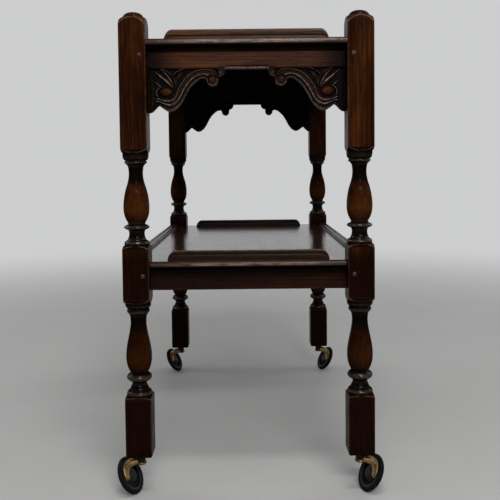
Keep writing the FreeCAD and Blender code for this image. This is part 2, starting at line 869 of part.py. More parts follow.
def make_axle(name, side, end):
    zero = as_size(0)
    head_back = bowl_back - size.face_gap - size.axle_head_height
    head_front = bowl_back - size.face_gap
    nose = web_front + size.axle_nose
    head, pin = size.axle_head_radius, size.axle_radius
    axle = new_body(f"{name}_axle")
    turn_round(
        axle,
        "Revolution",
        [
            (zero, head_back),
            (head, head_back),
            (head, head_front),
            (pin, head_front),
            (pin, nose),
            (zero, nose),
        ],
    )
    keep(on_axle(axle, side, end))
    cap = new_body(f"{name}_hub_cap")
    radius, height, recess = size.hub_cap_radius, size.hub_cap_height, size.axle_nose + size.face_gap
    hollow = pin + size.face_gap
    dome = (radius * CAP_DOME_SHARE[0], web_front + height * CAP_DOME_SHARE[1])
    turn_round(
        cap,
        "Revolution",
        [
            (hollow, web_front),
            (radius, web_front),
            (dome, (radius * CROWN_FLAT_SHARE, web_front + height)),
            (zero, web_front + height),
            (zero, web_front + recess),
            (hollow, web_front + recess),
        ],
    )
    keep(on_axle(cap, side, end))


def make_hood(name, side, end):
    bore, boss = size.axle_radius + size.joint_gap, size.hub_radius
    lip_in, lip_out = size.hood_lip_inner_radius, size.hood_radius
    dish = new_body(f"{name}_hood_dish")
    section = [
        (bore, web_back),
        (lip_out, web_back),
        (lip_out, lip_top),
        (lip_in, lip_top),
        (lip_in, web_front),
        (bore, web_front),
    ]
    turn_round(dish, "Revolution", section, size.hood_sweep)
    lead, sweep = size.hood_lead.number, size.hood_sweep.number
    on_axle(dish, side, end, 180 - lead if side == LEFT else 180 + lead - sweep)
    hub = new_body(f"{name}_hood_hub")
    turn_round(hub, "Revolution", rectangle((bore, boss), (web_back, web_front)))
    on_axle(hub, side, end)
    stem_boss = rod(f"{name}_hood_boss", size.boss_radius, size.boss_height, (as_size(0),) * 3)
    on_stem(stem_boss, side, end, boss_bottom)

    def over_rim(radius, along):
        """A point of the neck, at a radius above the axle and a distance along the axle."""
        out = -wheel_out - radius * tilt_sin + along * tilt_cos
        return out, wheel_height + radius * tilt_cos + along * tilt_sin

    neck = new_body(f"{name}_hood_neck")
    seat = size.rim_front + size.face_gap * 2
    root = -size.boss_radius * NECK_ROOT_SHARE
    outline = [
        (as_size(0), boss_bottom),
        (as_size(0), boss_top),
        (-size.boss_radius, boss_top),
        over_rim(lip_out, seat + size.neck_lead),
        over_rim(lip_out, seat),
        over_rim(lip_in, seat),
        (root, boss_bottom),
    ]
    inner_y, outer_y = -size.neck_width / 2 + wheel_trail / 2, size.neck_width / 2 + wheel_trail / 2
    plank(neck, outline, span(side, inner_y, outer_y))
    on_stem(neck, side, end)
    joined = fuse(f"{name}_hood_casting", [dish, hub, stem_boss, neck])
    hole_radius = size.stem_radius + size.joint_gap
    stem_hole = rod(f"{name}_hood_stem_hole", hole_radius, size.boss_height, (as_size(0),) * 3)
    on_stem(stem_hole, side, end, boss_top - size.stem_foot)
    keep(cut(f"{name}_hood", joined, [stem_hole]))


def make_stem(name, side, end):
    zero = as_size(0)
    foot = boss_top - size.stem_foot + size.joint_gap
    tip = size.foot_clearance + size.stem_rise
    keep(on_stem(rod(f"{name}_stem", size.stem_radius, tip - foot, (zero, zero, zero)), side, end, foot))
    bore, sleeve, flange = size.stem_radius + size.running_gap, size.socket_radius, size.socket_flange_radius
    face, low = size.foot_clearance, size.foot_clearance - size.socket_flange_thickness
    top, roof = face + size.socket_depth, tip + size.face_gap
    socket = new_body(f"{name}_socket")
    turn_round(
        socket,
        "Revolution",
        [
            (bore, low),
            (flange, low),
            (flange, face),
            (sleeve, face),
            (sleeve, top),
            (zero, top),
            (zero, roof),
            (bore, roof),
        ],
    )
    keep(on_stem(socket, side, end))


def make_caster(side, end):
    name = f"caster_{END_NAMES[end]}_{SIDE_NAMES[side]}"
    make_stem(name, side, end)
    make_hood(name, side, end)
    make_axle(name, side, end)
    make_wheel(name, side, end)


def write_parts():
    doc.recompute()
    failed = [item.Name for item in doc.Objects if {"Invalid", "Error"} & set(item.State)]
    broken = [item.Label for item in sub_parts if item.Shape.isNull() or not item.Shape.isValid()]
    if failed or broken:
        raise RuntimeError(f"failed objects {failed}, broken shapes {broken}")
    os.makedirs("parts", exist_ok=True)
    for item in sub_parts:
        item.Shape.exportStep(f"parts/{item.Label}.step")


for leg_side in SIDE_NAMES:
    for leg_end in END_NAMES:
        make_leg(leg_side, leg_end)
        make_caster(leg_side, leg_end)
make_rails()
for shelf in (upper_shelf, lower_shelf):
    make_board(shelf)
    for shelf_end in END_NAMES:
        make_gallery(shelf, shelf_end)
    for shelf_side in SIDE_NAMES:
        make_moulding(shelf, shelf_side)
make_dowels_blocks_screws()
make_pegs()
write_parts()
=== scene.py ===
import json
import math
from itertools import product

import bpy
import numpy as np
from mathutils import Matrix, Vector
from mathutils.geometry import delaunay_2d_cdt


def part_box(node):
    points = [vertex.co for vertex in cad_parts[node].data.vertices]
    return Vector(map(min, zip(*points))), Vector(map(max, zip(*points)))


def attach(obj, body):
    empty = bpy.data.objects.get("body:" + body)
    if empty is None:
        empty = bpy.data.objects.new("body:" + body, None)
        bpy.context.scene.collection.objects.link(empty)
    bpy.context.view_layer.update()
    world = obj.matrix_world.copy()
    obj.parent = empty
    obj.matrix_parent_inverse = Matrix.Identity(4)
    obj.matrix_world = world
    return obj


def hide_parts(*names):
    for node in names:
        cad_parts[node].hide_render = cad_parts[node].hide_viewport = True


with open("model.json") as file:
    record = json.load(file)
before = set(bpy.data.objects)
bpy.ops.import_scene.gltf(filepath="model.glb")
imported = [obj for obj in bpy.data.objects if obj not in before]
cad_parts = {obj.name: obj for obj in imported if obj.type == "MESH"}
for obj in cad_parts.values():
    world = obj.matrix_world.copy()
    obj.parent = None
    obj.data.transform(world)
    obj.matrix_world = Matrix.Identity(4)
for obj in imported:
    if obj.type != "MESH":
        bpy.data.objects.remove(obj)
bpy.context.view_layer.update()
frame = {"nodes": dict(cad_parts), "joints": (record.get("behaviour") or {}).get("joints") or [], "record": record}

# A serving trolley in dark stained oak. The frame holds the joinery. This script carves the friezes, turns
# the legs, works the gallery strips, casts the caster hoods and finishes every piece. Lengths in the tables
# of shapes are millimetres, and those in finishes and in the studio are metres.

MM = 0.001
NODE_SLOTS = {row["node"]: row["material_slot"] for row in frame["record"]["subparts"]}
JOINTS = {joint["name"]: joint for joint in frame["joints"]}
SHELVES = "upper", "lower"
ENDS = {"front": -1, "back": 1}
SIDES = {"left": -1, "right": 1}
FINISHES = {}


# Shader helpers
class Wire:
    """A value in a shader tree. Sums, differences and products with it become Math nodes."""

    def __init__(self, graph, socket):
        self.graph, self.socket = graph, socket

    def __add__(self, other):
        return self.graph.maths("ADD", self, other)

    def __sub__(self, other):
        return self.graph.maths("SUBTRACT", self, other)

    def __rsub__(self, other):
        return self.graph.maths("SUBTRACT", other, self)

    def __mul__(self, other):
        return self.graph.maths("MULTIPLY", self, other)

    def __abs__(self):
        return self.graph.maths("ABSOLUTE", self)

    def or_more(self, other):
        return self.graph.maths("MAXIMUM", self, other)

    def remap(self, low, high, to_low=0.0, to_high=1.0):
        ranges = {"Value": self, "From Min": low, "From Max": high, "To Min": to_low, "To Max": to_high}
        return self.graph.put("MapRange", ranges, interpolation_type="SMOOTHSTEP")["Result"]


class Graph:
    """A shader tree, with short names for making its nodes."""

    def __init__(self, tree):
        self.tree = tree

    def join(self, value, socket):
        """Link a wire to a socket, or set the socket to a constant."""
        if isinstance(value, Wire):
            self.tree.links.new(value.socket, socket)
        else:
            socket.default_value = (*value, 1.0) if socket.type == "RGBA" else value

    def node(self, kind, inputs=None, **settings):
        """A node; inputs holds wires and constants, by socket name or number."""
        node = self.tree.nodes.new(f"ShaderNode{kind}")
        for name, value in settings.items():
            setattr(node, name, value)
        for name, value in (inputs or {}).items():
            self.join(value, node.inputs[name])
        return node

    def put(self, kind, inputs=None, **settings):
        """A new node's outputs, by name."""
        return {socket.name: Wire(self, socket) for socket in self.node(kind, inputs, **settings).outputs}

    def use(self, group, **inputs):
        """A shared effect's outputs, by name."""
        named = {name.replace("_", " "): value for name, value in inputs.items()}
        return self.put("Group", named, node_tree=group)

    def maths(self, operation, first, second=0.0, clamp=False):
        return self.put("Math", {0: first, 1: second}, operation=operation, use_clamp=clamp)["Value"]

    def mixed(self, share, first, second):
        """A colour between two others."""
        return Wire(self, self.node("Mix", {0: share, 6: first, 7: second}, data_type="RGBA").outputs[2])

    def blended(self, share, first, second):
        """A number between two others."""
        return Wire(self, self.node("Mix", {0: share, 2: first, 3: second}, data_type="FLOAT").outputs[0])

    def noise(self, place, scale, detail=2.0, roughness=0.5, distortion=0.0):
        inputs = {"Vector": place, "Scale": scale, "Detail": detail, "Roughness": roughness}
        return self.put("TexNoise", {**inputs, "Distortion": distortion})["Fac"]

    def stretched(self, place, scale, shift=(0.0, 0.0, 0.0)):
        return self.put("Mapping", {"Vector": place, "Scale": scale, "Location": shift})["Vector"]

    def axes(self, vector):
        return self.put("SeparateXYZ", {0: vector})

    def normal(self):
        return self.axes(self.put("NewGeometry")["Normal"])

    def mask(self, name):
        """A mask that the piece's own mesh carries."""
        return self.put("Attribute", attribute_name=name)["Fac"]


class Group(Graph):
    """A shared effect. Each input is a kind of socket, or a number's first value."""

    def __init__(self, name, **inputs):
        super().__init__(bpy.data.node_groups.new(name, "ShaderNodeTree"))
        for label, first in inputs.items():
            kind = first if isinstance(first, str) else "Float"
            socket = self.tree.interface.new_socket(
                name=label.replace("_", " "), in_out="INPUT", socket_type=f"NodeSocket{kind}")
            if kind == "Float":
                socket.default_value = first
        start = self.tree.nodes.new("NodeGroupInput")
        self.given = {socket.name: Wire(self, socket) for socket in start.outputs}

    def give(self, **outputs):
        """Make the outputs, and return the finished tree."""
        for label in outputs:
            kind = "Color" if label == "Colour" else "Float"
            self.tree.interface.new_socket(name=label, in_out="OUTPUT", socket_type=f"NodeSocket{kind}")
        end = self.tree.nodes.new("NodeGroupOutput")
        for label, value in outputs.items():
            self.join(value, end.inputs[label])
        return self.tree


class Finish(Graph):
    """A material in the making, with its colour, roughness and kept polish so far."""

    def __init__(self, name):
        self.material = bpy.data.materials.new(name)
        self.material.use_nodes = True
        super().__init__(self.material.node_tree)
        self.shader = self.tree.nodes["Principled BSDF"]
        self.place = self.put("TexCoord")["Object"]
        FINISHES[name] = self.material

    def paint(self, share, colour):
        self.colour = self.mixed(share, self.colour, colour)

    def paint_raw_shade(self, share):
        """Painted shade: wood painted near black and left without its polish coat."""
        self.paint(share, RAW_SHADOW)
        self.kept = self.kept * (1.0 - share)

    def shade(self, sockets):
        for name, value in sockets.items():
            self.join(value, self.shader.inputs[name])

    def bump(self, height, distance, strength):
        inputs = {"Height": height, "Distance": distance, "Strength": strength}
        self.shade({"Normal": self.put("Bump", inputs)["Normal"]})


# Shared effects
PORE_STAIN = 0.004, 0.002, 0.0015


def make_oak_grain():
    """Stained oak with its fibres along Z: broad stain tones, streaks, growth rings and open pores."""
    g = Group("oak_grain", Coordinates="Vector", Dark="Color", Middle="Color", Warm="Color",
              Figure=0.4, Pores=0.5, Depth_of_tone=0.0, Streaks=1.0)
    place = g.given["Coordinates"]
    wander = g.noise(g.stretched(place, (1, 1, 0.2)), 22)
    drift = g.put("CombineXYZ", {"X": wander * 0.012, "Y": wander * -0.009})["Vector"]
    bent = g.put("VectorMath", {0: place, 1: drift}, operation="ADD")["Vector"]
    tone = g.noise(g.stretched(place, (1, 1, 0.3)), 24, 3, 0.55)
    streak = g.noise(g.stretched(bent, (1, 1, 0.028)), 330, 4, 0.62)
    fibre = g.noise(g.stretched(bent, (1, 1, 0.02)), 900, 3, 0.65)
    rings = g.put("TexWave", {
        "Vector": g.stretched(bent, (1, 1, 0.06), (0.031, 0.057, 0.0)), "Scale": 62.0, "Distortion": 2.8,
        "Detail": 3.0, "Detail Scale": 2.0,
    }, wave_type="RINGS", rings_direction="Z")["Fac"]
    pores = g.noise(g.stretched(bent, (1, 1, 0.03)), 1000, 1).remap(0.57, 0.70) * g.given["Pores"]
    lines = (streak - 0.5) * 0.32 + (fibre - 0.5) * 0.42
    body = tone * 0.68 + (rings - 0.5) * g.given["Figure"] * 0.20 + lines * g.given["Streaks"]
    body = body + 0.16 + g.given["Depth of tone"]
    colour = g.mixed(body.remap(0.28, 0.52), g.given["Dark"], g.given["Middle"])
    colour = g.mixed(body.remap(0.46, 0.80), colour, g.given["Warm"])
    return g.give(Colour=g.mixed(pores * 0.8, colour, PORE_STAIN), Height=fibre * 0.5 - pores + streak * 0.4,
                  Gloss=fibre * 0.5 + tone * 0.5)


def make_rubbed_edges():
    """Where hands and cloths have rubbed the stain from the outer edges, broken up along their length."""
    g = Group("rubbed_edges", Coordinates="Vector", Width=0.003, Amount=0.5, Break_up=90.0)
    reach = {"Distance": g.given["Width"]}
    inside = g.put("AmbientOcclusion", reach, samples=6, inside=True, only_local=True)["AO"]
    patches = g.noise(g.given["Coordinates"], g.given["Break up"], 3, 0.6)
    return g.give(Mask=inside.remap(0.80, 0.45) * patches.remap(0.34, 0.62) * g.given["Amount"])


def make_corner_dirt_and_shade():
    """Painted shade, with old polish and dirt gathered there, in the inner corners found by ambient occlusion."""
    g = Group("corner_dirt_and_shade", Coordinates="Vector", Reach=0.012, Amount=0.7)
    open_sky = g.put("AmbientOcclusion", {"Distance": g.given["Reach"]}, samples=6)["AO"]
    uneven = g.noise(g.given["Coordinates"], 60, 3, 0.6)
    return g.give(Mask=open_sky.remap(0.85, 0.25) * uneven.remap(0.2, 0.5, 0.85, 1.0) * g.given["Amount"])


def make_handling():
    """Fine scratches, smears and specks that change the gloss of a polished face."""
    g = Group("handling", Coordinates="Vector", Scale=1.0)
    scaled = g.put("VectorMath", {0: g.given["Coordinates"], "Scale": g.given["Scale"]}, operation="SCALE")
    place = scaled["Vector"]
    lines = g.noise(g.stretched(place, (0.12, 1.0, 1.0)), 700, 2, 0.5, 0.8)
    return g.give(Smear=g.noise(place, 38, 4, 0.62, 0.6), Scratch=lines.remap(0.66, 0.74),
                  Speck=g.noise(place, 1300, 1).remap(0.70, 0.78))


def make_shaded_unpolished_faces():
    """Painted shade, without polish: undersides, and the sides of rails that look into the trolley."""
    g = Group("shaded_unpolished_faces", Inner_X=0.0, Inner_Y=0.0, Under=0.0)
    normal, where = g.normal(), g.axes(g.put("NewGeometry")["Position"])
    raw = normal["Z"].remap(-0.45, -0.85) * g.given["Under"]
    for axis in "XY":
        inwards = normal[axis] * g.maths("SIGN", where[axis])
        raw = raw.or_more(inwards.remap(-0.3, -0.8) * g.given[f"Inner {axis}"])
    return g.give(Mask=raw)


OAK_GRAIN = make_oak_grain()
RUBBED_EDGES = make_rubbed_edges()
CORNER_DIRT_AND_SHADE = make_corner_dirt_and_shade()
HANDLING = make_handling()
SHADED_UNPOLISHED_FACES = make_shaded_unpolished_faces()


# Finishes. Each stain has a dark, a middle and a warm tone.
LEG_STAIN = (0.0050, 0.0014, 0.0006), (0.0165, 0.0041, 0.0010), (0.050, 0.0145, 0.0034)
SHELF_STAIN = (0.0065, 0.0028, 0.0020), (0.020, 0.0068, 0.0036), (0.052, 0.0200, 0.0085)
GALLERY_STAIN = (0.0090, 0.0033, 0.0016), (0.038, 0.0120, 0.0046), (0.100, 0.0350, 0.0118)
FRIEZE_STAIN = (0.0110, 0.0046, 0.0028), (0.044, 0.0150, 0.0074), (0.100, 0.0360, 0.0150)
RAIL_STAIN = (0.0050, 0.0020, 0.0013), (0.0130, 0.0042, 0.0022), (0.036, 0.0118, 0.0053)
PEG_STAIN = (0.012, 0.006, 0.004), (0.032, 0.018, 0.012), (0.070, 0.045, 0.032)
# Raw oak is set near black: old dark wood, and painted shade where it sits under the shelves.
RAW_OAK_AND_SHADE = (0.003, 0.002, 0.0012), (0.006, 0.004, 0.0025), (0.011, 0.007, 0.0045)
RAW_BEECH = (0.22, 0.13, 0.07), (0.36, 0.23, 0.13), (0.46, 0.31, 0.19)
# Single tones
RUBBED_STAIN = 0.120, 0.074, 0.048
# Pale carved crests: rubbed wood, and painted highlight.
RUBBED_CREST_AND_HIGHLIGHT = 0.21, 0.180, 0.155
# The nosing's rubbed tone, which also paints its highlight.
RUBBED_NOSING_HIGHLIGHT = 0.200, 0.127, 0.092
BELLY_STAIN = 0.054, 0.0165, 0.0030
BOSS_STAIN = 0.092, 0.0240, 0.0045
# Painted shade for the lower part of the leg.
LOW_LEG_SHADE = 0.0046, 0.0012, 0.0006
BAND_STAIN = 0.0105, 0.0068, 0.0056
NOSING_STAIN = 0.022, 0.0100, 0.0066
# Dark old polish, also used as painted shade in corners, hollows, grooves and under the nosing.
OLD_POLISH_AND_SHADE = 0.0035, 0.0020, 0.0015
RAW_SHADOW = 0.0038, 0.0023, 0.0017
BARE_CORNER = 0.03, 0.02, 0.012
GRIME_AND_SHADE = 0.012, 0.009, 0.006
PATINA = 0.010, 0.0085, 0.0075
RUBBER = 0.0026, 0.0040, 0.0043
WORN_RUBBER = 0.007, 0.009, 0.0092
RUBBER_EDGE = 0.05, 0.052, 0.052
DUST = 0.16, 0.15, 0.14
# Bright, dull and tarnished metal
STEEL = (0.55, 0.54, 0.52), (0.26, 0.25, 0.24), (0.16, 0.13, 0.10)
BRASS = (0.55, 0.40, 0.18), (0.24, 0.155, 0.055), (0.12, 0.075, 0.03)
CAST_BRASS = (0.42, 0.29, 0.13), (0.20, 0.125, 0.045), (0.10, 0.058, 0.022)
IRON = (0.07, 0.07, 0.072), (0.014, 0.0145, 0.0155), (0.008, 0.008, 0.0085)
# A polish is the coat's index of refraction and its roughness.
LEG_POLISH, SHELF_POLISH, RAIL_POLISH = (1.5, 0.13), (1.8, 0.15), (1.16, 0.35)
SIDE_SHEEN = 0.4
BOARD_ENDS = {shelf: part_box(f"{shelf}_shelf_board")[1].y for shelf in SHELVES}
BETWEEN_SHELVES = 0.5, 0.6
# How far in from each board's end the nosing runs, and the heights where the nosing's painted shadow darkens the
# end rails.
NOSING_REACH, NOSING_SHADOW_ON_RAIL = (-0.0105, -0.0075), (0.354, 0.368)
ALONG_X, ALONG_Y, ALONG_Z = (0.0, math.radians(-90), 0.0), (math.radians(90), 0.0, 0.0), (0.0, 0.0, 0.0)
WOOD_RELIEF, RAW_RELIEF, METAL_RELIEF, RUBBER_RELIEF = 0.00035, 0.0004, 0.0004, 0.0002


def stained_oak(name, fibres, stain, shading=None, figure=0.4, tone=0.0, streaks=1.0, pores=0.5,
                gloss=(0.22, 0.40), wear=0.0, wear_width=0.003, corners=0.6, specular=0.08, relief=0.6,
                polish=None):
    """Oak under a dark stain and wax; shading adds what one kind of piece has of its own."""
    f = Finish(name)
    dark, middle, warm = stain
    fibred = f.put("Mapping", {"Vector": f.place, "Rotation": fibres})["Vector"]
    grain = f.use(OAK_GRAIN, Coordinates=fibred, Dark=dark, Middle=middle, Warm=warm,
                  Figure=figure, Pores=pores, Depth_of_tone=tone, Streaks=streaks)
    touch = f.use(HANDLING, Coordinates=f.place)
    corner = f.use(CORNER_DIRT_AND_SHADE, Coordinates=f.place, Amount=corners)["Mask"]
    f.colour = grain["Colour"]
    if wear:
        f.paint(f.use(RUBBED_EDGES, Coordinates=f.place, Width=wear_width, Amount=wear)["Mask"], RUBBED_STAIN)
    # Painted shade in the inner corners, with old polish gathered there.
    f.paint(corner, OLD_POLISH_AND_SHADE)
    f.rough = (grain["Gloss"] * 0.5 + touch["Smear"] * 0.5).remap(0.3, 0.7, *gloss)
    f.rough = f.rough + touch["Scratch"] * 0.10 + corner * 0.25
    f.kept = touch["Smear"].remap(0.25, 0.65, 1.0, 0.6)
    if shading:
        shading(f)
    f.shade({"Base Color": f.colour, "Roughness": f.rough, "Specular IOR Level": specular})
    if polish:
        f.shade({"Coat IOR": polish[0], "Coat Roughness": polish[1], "Coat Weight": f.kept})
    f.bump(grain["Height"], WOOD_RELIEF, relief)


def turned_shading(f):
    """Painted shade in hollows and low down, darker rings, a warm glow on bellies, rubbed crests with painted
    highlight.
    """
    broken = f.noise(f.place, 170, 3, 0.6).remap(0.34, 0.60, 0.25, 1.0)
    mottled = f.noise(f.place, 95, 4, 0.7).remap(0.30, 0.65, 0.45, 1.0)
    specks = f.noise(f.stretched(f.place, (1, 1, 0.5)), 420, 3, 0.6).remap(0.36, 0.50, 0.35, 1.0)
    flecks = f.noise(f.place, 330).remap(0.60, 0.68, 0.0, 0.65)
    belly, crest = f.mask("belly"), f.mask("crest")
    f.paint(belly * mottled * specks, BELLY_STAIN)
    f.paint(belly * flecks, OLD_POLISH_AND_SHADE)
    # Painted shade: the leg below the upper turning is darker.
    f.paint(f.mask("block"), LOW_LEG_SHADE)
    # Painted shade in the hollows and necks; the rings take darker stain.
    f.paint(f.mask("hollow").or_more(crest * 0.75), OLD_POLISH_AND_SHADE)
    # Rubbed crests and arrises, partly painted highlights.
    f.paint(crest * broken * 0.24, RUBBED_STAIN)
    f.paint(f.mask("edge") * broken, RUBBED_STAIN)
    sheen = abs(f.normal()["X"]).remap(0.90, 0.99, 0.0, SIDE_SHEEN)
    f.kept = f.kept * f.mask("gloss").or_more(sheen)


def carved_shading(f):
    """Pale crests partly as painted highlight, painted shade on the ground between the leaves, polished bosses."""
    hollow = f.mask("hollow")
    worn = f.noise(f.place, 210, 4, 0.65).remap(0.34, 0.60, 0.22, 1.0)
    knots = f.noise(f.place, 300, 3, 0.6).remap(0.35, 0.65, 0.55, 1.0)
    f.paint(f.mask("boss") * knots, BOSS_STAIN)
    # Painted shade on the deep ground, in the channels and on the step.
    f.paint(hollow, OLD_POLISH_AND_SHADE)
    # Pale crests: rubbed wood, and painted highlights.
    f.paint(f.mask("crest") * worn, RUBBED_CREST_AND_HIGHLIGHT)
    # Painted shade on the face that looks into the trolley.
    f.paint_raw_shade(f.use(SHADED_UNPOLISHED_FACES, Inner_Y=1.0)["Mask"])
    f.rough = f.rough + hollow * 0.25


def gallery_shading(f):
    """Painted shade in the groove and on the lower shelf's strips, and the greyer bead below the groove."""
    height = f.axes(f.place)["Z"]
    broken = f.noise(f.place, 120, 3, 0.6).remap(0.34, 0.62, 0.2, 1.0)
    f.paint(f.mask("band") * height.remap(*BETWEEN_SHELVES, 0.3, 0.75), BAND_STAIN)
    # Painted shade on the lower shelf's strips, and in the groove.
    f.paint(height.remap(*BETWEEN_SHELVES, 0.70, 0.0), OLD_POLISH_AND_SHADE)
    f.paint(f.mask("hollow"), OLD_POLISH_AND_SHADE)
    f.paint(f.mask("edge") * broken, RUBBED_STAIN)


def across_shading(f):
    """An end rail, with the nosing's shadow painted black along its top, and painted shade below and inside."""
    nosing_shadow = f.axes(f.place)["Z"].remap(*NOSING_SHADOW_ON_RAIL)
    f.paint_raw_shade(f.use(SHADED_UNPOLISHED_FACES, Inner_Y=1.0, Under=1.0)["Mask"].or_more(nosing_shadow))


def along_shading(f):
    # Painted shade on the underside and on the face that looks into the trolley.
    f.paint_raw_shade(f.use(SHADED_UNPOLISHED_FACES, Inner_X=1.0, Under=1.0)["Mask"])


def board_shading(f):
    """A shelf board: painted highlight on its rubbed nosing, and painted shade under the nosing and the board."""
    where, facing = f.axes(f.place), f.normal()["Z"]
    board_end = where["Z"].remap(*BETWEEN_SHELVES, BOARD_ENDS["lower"], BOARD_ENDS["upper"])
    nosing = (abs(where["Y"]) - board_end).remap(*NOSING_REACH)
    # The nosing's painted highlight is broken up, and fades towards the board's ends.
    worn = f.noise(f.stretched(f.place, (0.16, 1, 1)), 190, 4, 0.7).remap(0.36, 0.64, 0.10, 1.0)
    worn = worn * abs(where["X"]).remap(0.05, 0.16, 1.0, 0.20)
    nosing_highlight = facing.remap(-0.30, -0.02) * facing.remap(0.02, 0.50, 1.0, 0.10)
    f.paint(nosing, NOSING_STAIN)
    # Painted shade on the downward face of the nosing.
    f.paint(nosing * facing.remap(-0.15, -0.55), OLD_POLISH_AND_SHADE)
    # Painted highlight across the front of the nosing.
    f.paint(nosing * nosing_highlight * worn, RUBBED_NOSING_HIGHLIGHT)
    wiped = f.noise(f.stretched(f.place, (1, 0.22, 1)), 16, 4, 0.6).remap(0.32, 0.62, 0.94, 1.0)
    pores = f.noise(f.stretched(f.place, (1, 0.10, 1)), 520, 3, 0.65).remap(0.34, 0.52, 0.84, 1.0)
    top = f.kept.remap(0.6, 1.0, 0.94, 1.0) * wiped * pores
    f.kept = f.blended(nosing, top, top * facing.remap(0.25, 0.70, 0.20, 0.05))
    # Painted shade on the underside.
    f.paint_raw_shade(f.use(SHADED_UNPOLISHED_FACES, Under=1.0)["Mask"])


def bare_wood(name, tones):
    """Unpolished wood out of sight, dry, with a set tone in its occluded corners that darkens pale wood as painted
    shade.
    """
    f = Finish(name)
    dark, middle, warm = tones
    grain = f.use(OAK_GRAIN, Coordinates=f.place, Dark=dark, Middle=middle, Warm=warm, Figure=0.3, Pores=0.6)
    corner = f.use(CORNER_DIRT_AND_SHADE, Coordinates=f.place, Amount=0.5)["Mask"]
    f.shade({"Base Color": f.mixed(corner, grain["Colour"], BARE_CORNER), "Specular IOR Level": 0.05,
             "Roughness": grain["Gloss"].remap(0.3, 0.7, 0.65, 0.9)})
    f.bump(grain["Height"], RAW_RELIEF, 0.8)


def worn_metal(name, tones, metallic, gloss, pits=0.5, specular=0.5, patina=False):
    """Metal with grime and painted shade in its hollows, brighter on its rubbed edges and pitted from the casting.
    """
    f = Finish(name)
    bright, dull, tarnish = tones
    touch = f.use(HANDLING, Coordinates=f.place, Scale=2.2)
    edges = f.use(RUBBED_EDGES, Coordinates=f.place, Width=0.0022, Amount=0.9, Break_up=160.0)["Mask"]
    corner = f.use(CORNER_DIRT_AND_SHADE, Coordinates=f.place, Reach=0.006, Amount=0.85)["Mask"]
    blotch = f.noise(f.place, 130, 4, 0.65, 0.5)
    f.colour = f.mixed(blotch.remap(0.35, 0.62), dull, tarnish)
    f.paint(edges, bright)
    # Painted shade in the hollows, with grime.
    f.paint(corner, GRIME_AND_SHADE)
    if patina:
        f.paint(f.mask("patina"), PATINA)
        f.paint(f.mask("edge") * blotch.remap(0.3, 0.6, 0.4, 1.0), bright)
    f.shade({"Base Color": f.colour, "Specular IOR Level": specular,
             "Roughness": touch["Smear"].remap(0.3, 0.7, *gloss) + corner * 0.25,
             "Metallic": f.maths("SUBTRACT", metallic, corner * 0.5, clamp=True)})
    f.bump(f.noise(f.place, 420, 3, 0.6) + touch["Scratch"] * -0.4, METAL_RELIEF, pits)


def hard_rubber(name):
    """Black tyre rubber, scuffed and dusty on its tread."""
    f = Finish(name)
    touch = f.use(HANDLING, Coordinates=f.place, Scale=1.6)
    edges = f.use(RUBBED_EDGES, Coordinates=f.place, Width=0.0015, Amount=0.5, Break_up=200.0)["Mask"]
    f.colour = f.mixed(touch["Smear"].remap(0.4, 0.7), RUBBER, WORN_RUBBER)
    f.paint(edges, RUBBER_EDGE)
    f.paint(touch["Speck"] * 0.4, DUST)
    f.shade({"Base Color": f.colour, "Roughness": touch["Smear"].remap(0.3, 0.7, 0.38, 0.62),
             "Specular IOR Level": 0.025})
    f.bump(f.noise(f.place, 900), RUBBER_RELIEF, 0.4)


stained_oak("turned_oak", ALONG_Z, LEG_STAIN, turned_shading, figure=0.15, tone=0.02, streaks=1.65, pores=1.0,
            corners=0.5, specular=0.0, relief=0.2, polish=LEG_POLISH)
stained_oak("shelf_oak", ALONG_Y, SHELF_STAIN, board_shading, figure=0.55, corners=0.3, specular=0.0,
            relief=0.18, polish=SHELF_POLISH)
stained_oak("moulding_oak", ALONG_Y, SHELF_STAIN, streaks=0.6, gloss=(0.18, 0.34), wear=0.25, corners=0.8,
            specular=0.15, relief=0.12)
stained_oak("gallery_oak", ALONG_X, GALLERY_STAIN, gallery_shading, tone=0.04, corners=0.5)
stained_oak("carved_oak", ALONG_X, FRIEZE_STAIN, carved_shading, tone=0.02, specular=0.03)
RAIL_FINISH = {"wear": 0.3, "specular": 0.0, "polish": RAIL_POLISH}
stained_oak("rail_oak_across", ALONG_X, RAIL_STAIN, across_shading, **RAIL_FINISH)
stained_oak("rail_oak_along", ALONG_Y, RAIL_STAIN, along_shading, **RAIL_FINISH)
stained_oak("peg_oak", ALONG_Y, PEG_STAIN, wear=0.35, wear_width=0.002, specular=0.15)
bare_wood("raw_oak", RAW_OAK_AND_SHADE)
bare_wood("raw_beech", RAW_BEECH)
worn_metal("screw_steel", STEEL, 0.95, (0.32, 0.55))
worn_metal("aged_brass", BRASS, 0.92, (0.30, 0.55))
worn_metal("cast_brass", CAST_BRASS, 0.75, (0.34, 0.55), pits=0.3, specular=0.3, patina=True)
worn_metal("dark_iron", IRON, 0.15, (0.40, 0.60), pits=0.4, specular=0.12)
hard_rubber("black_rubber")


def finish_of(node):
    slot = NODE_SLOTS[node]
    if slot == "rail_oak":
        return FINISHES["rail_oak_across" if "end" in node else "rail_oak_along"]
    if slot == "shelf_oak" and "board" not in node:
        return FINISHES["gallery_oak" if "gallery" in node else "moulding_oak"]
    return FINISHES[slot]


for node_name, node_object in frame["nodes"].items():
    node_object.data.materials.clear()
    node_object.data.materials.append(finish_of(node_name))


# Mesh helpers
def placed(name, data):
    """A new object in the scene."""
    thing = bpy.data.objects.new(name, data)
    bpy.context.scene.collection.objects.link(thing)
    return thing


def new_mesh(name, vertices, faces):
    mesh = bpy.data.meshes.new(name)
    mesh.from_pydata(vertices, [], faces)
    return mesh


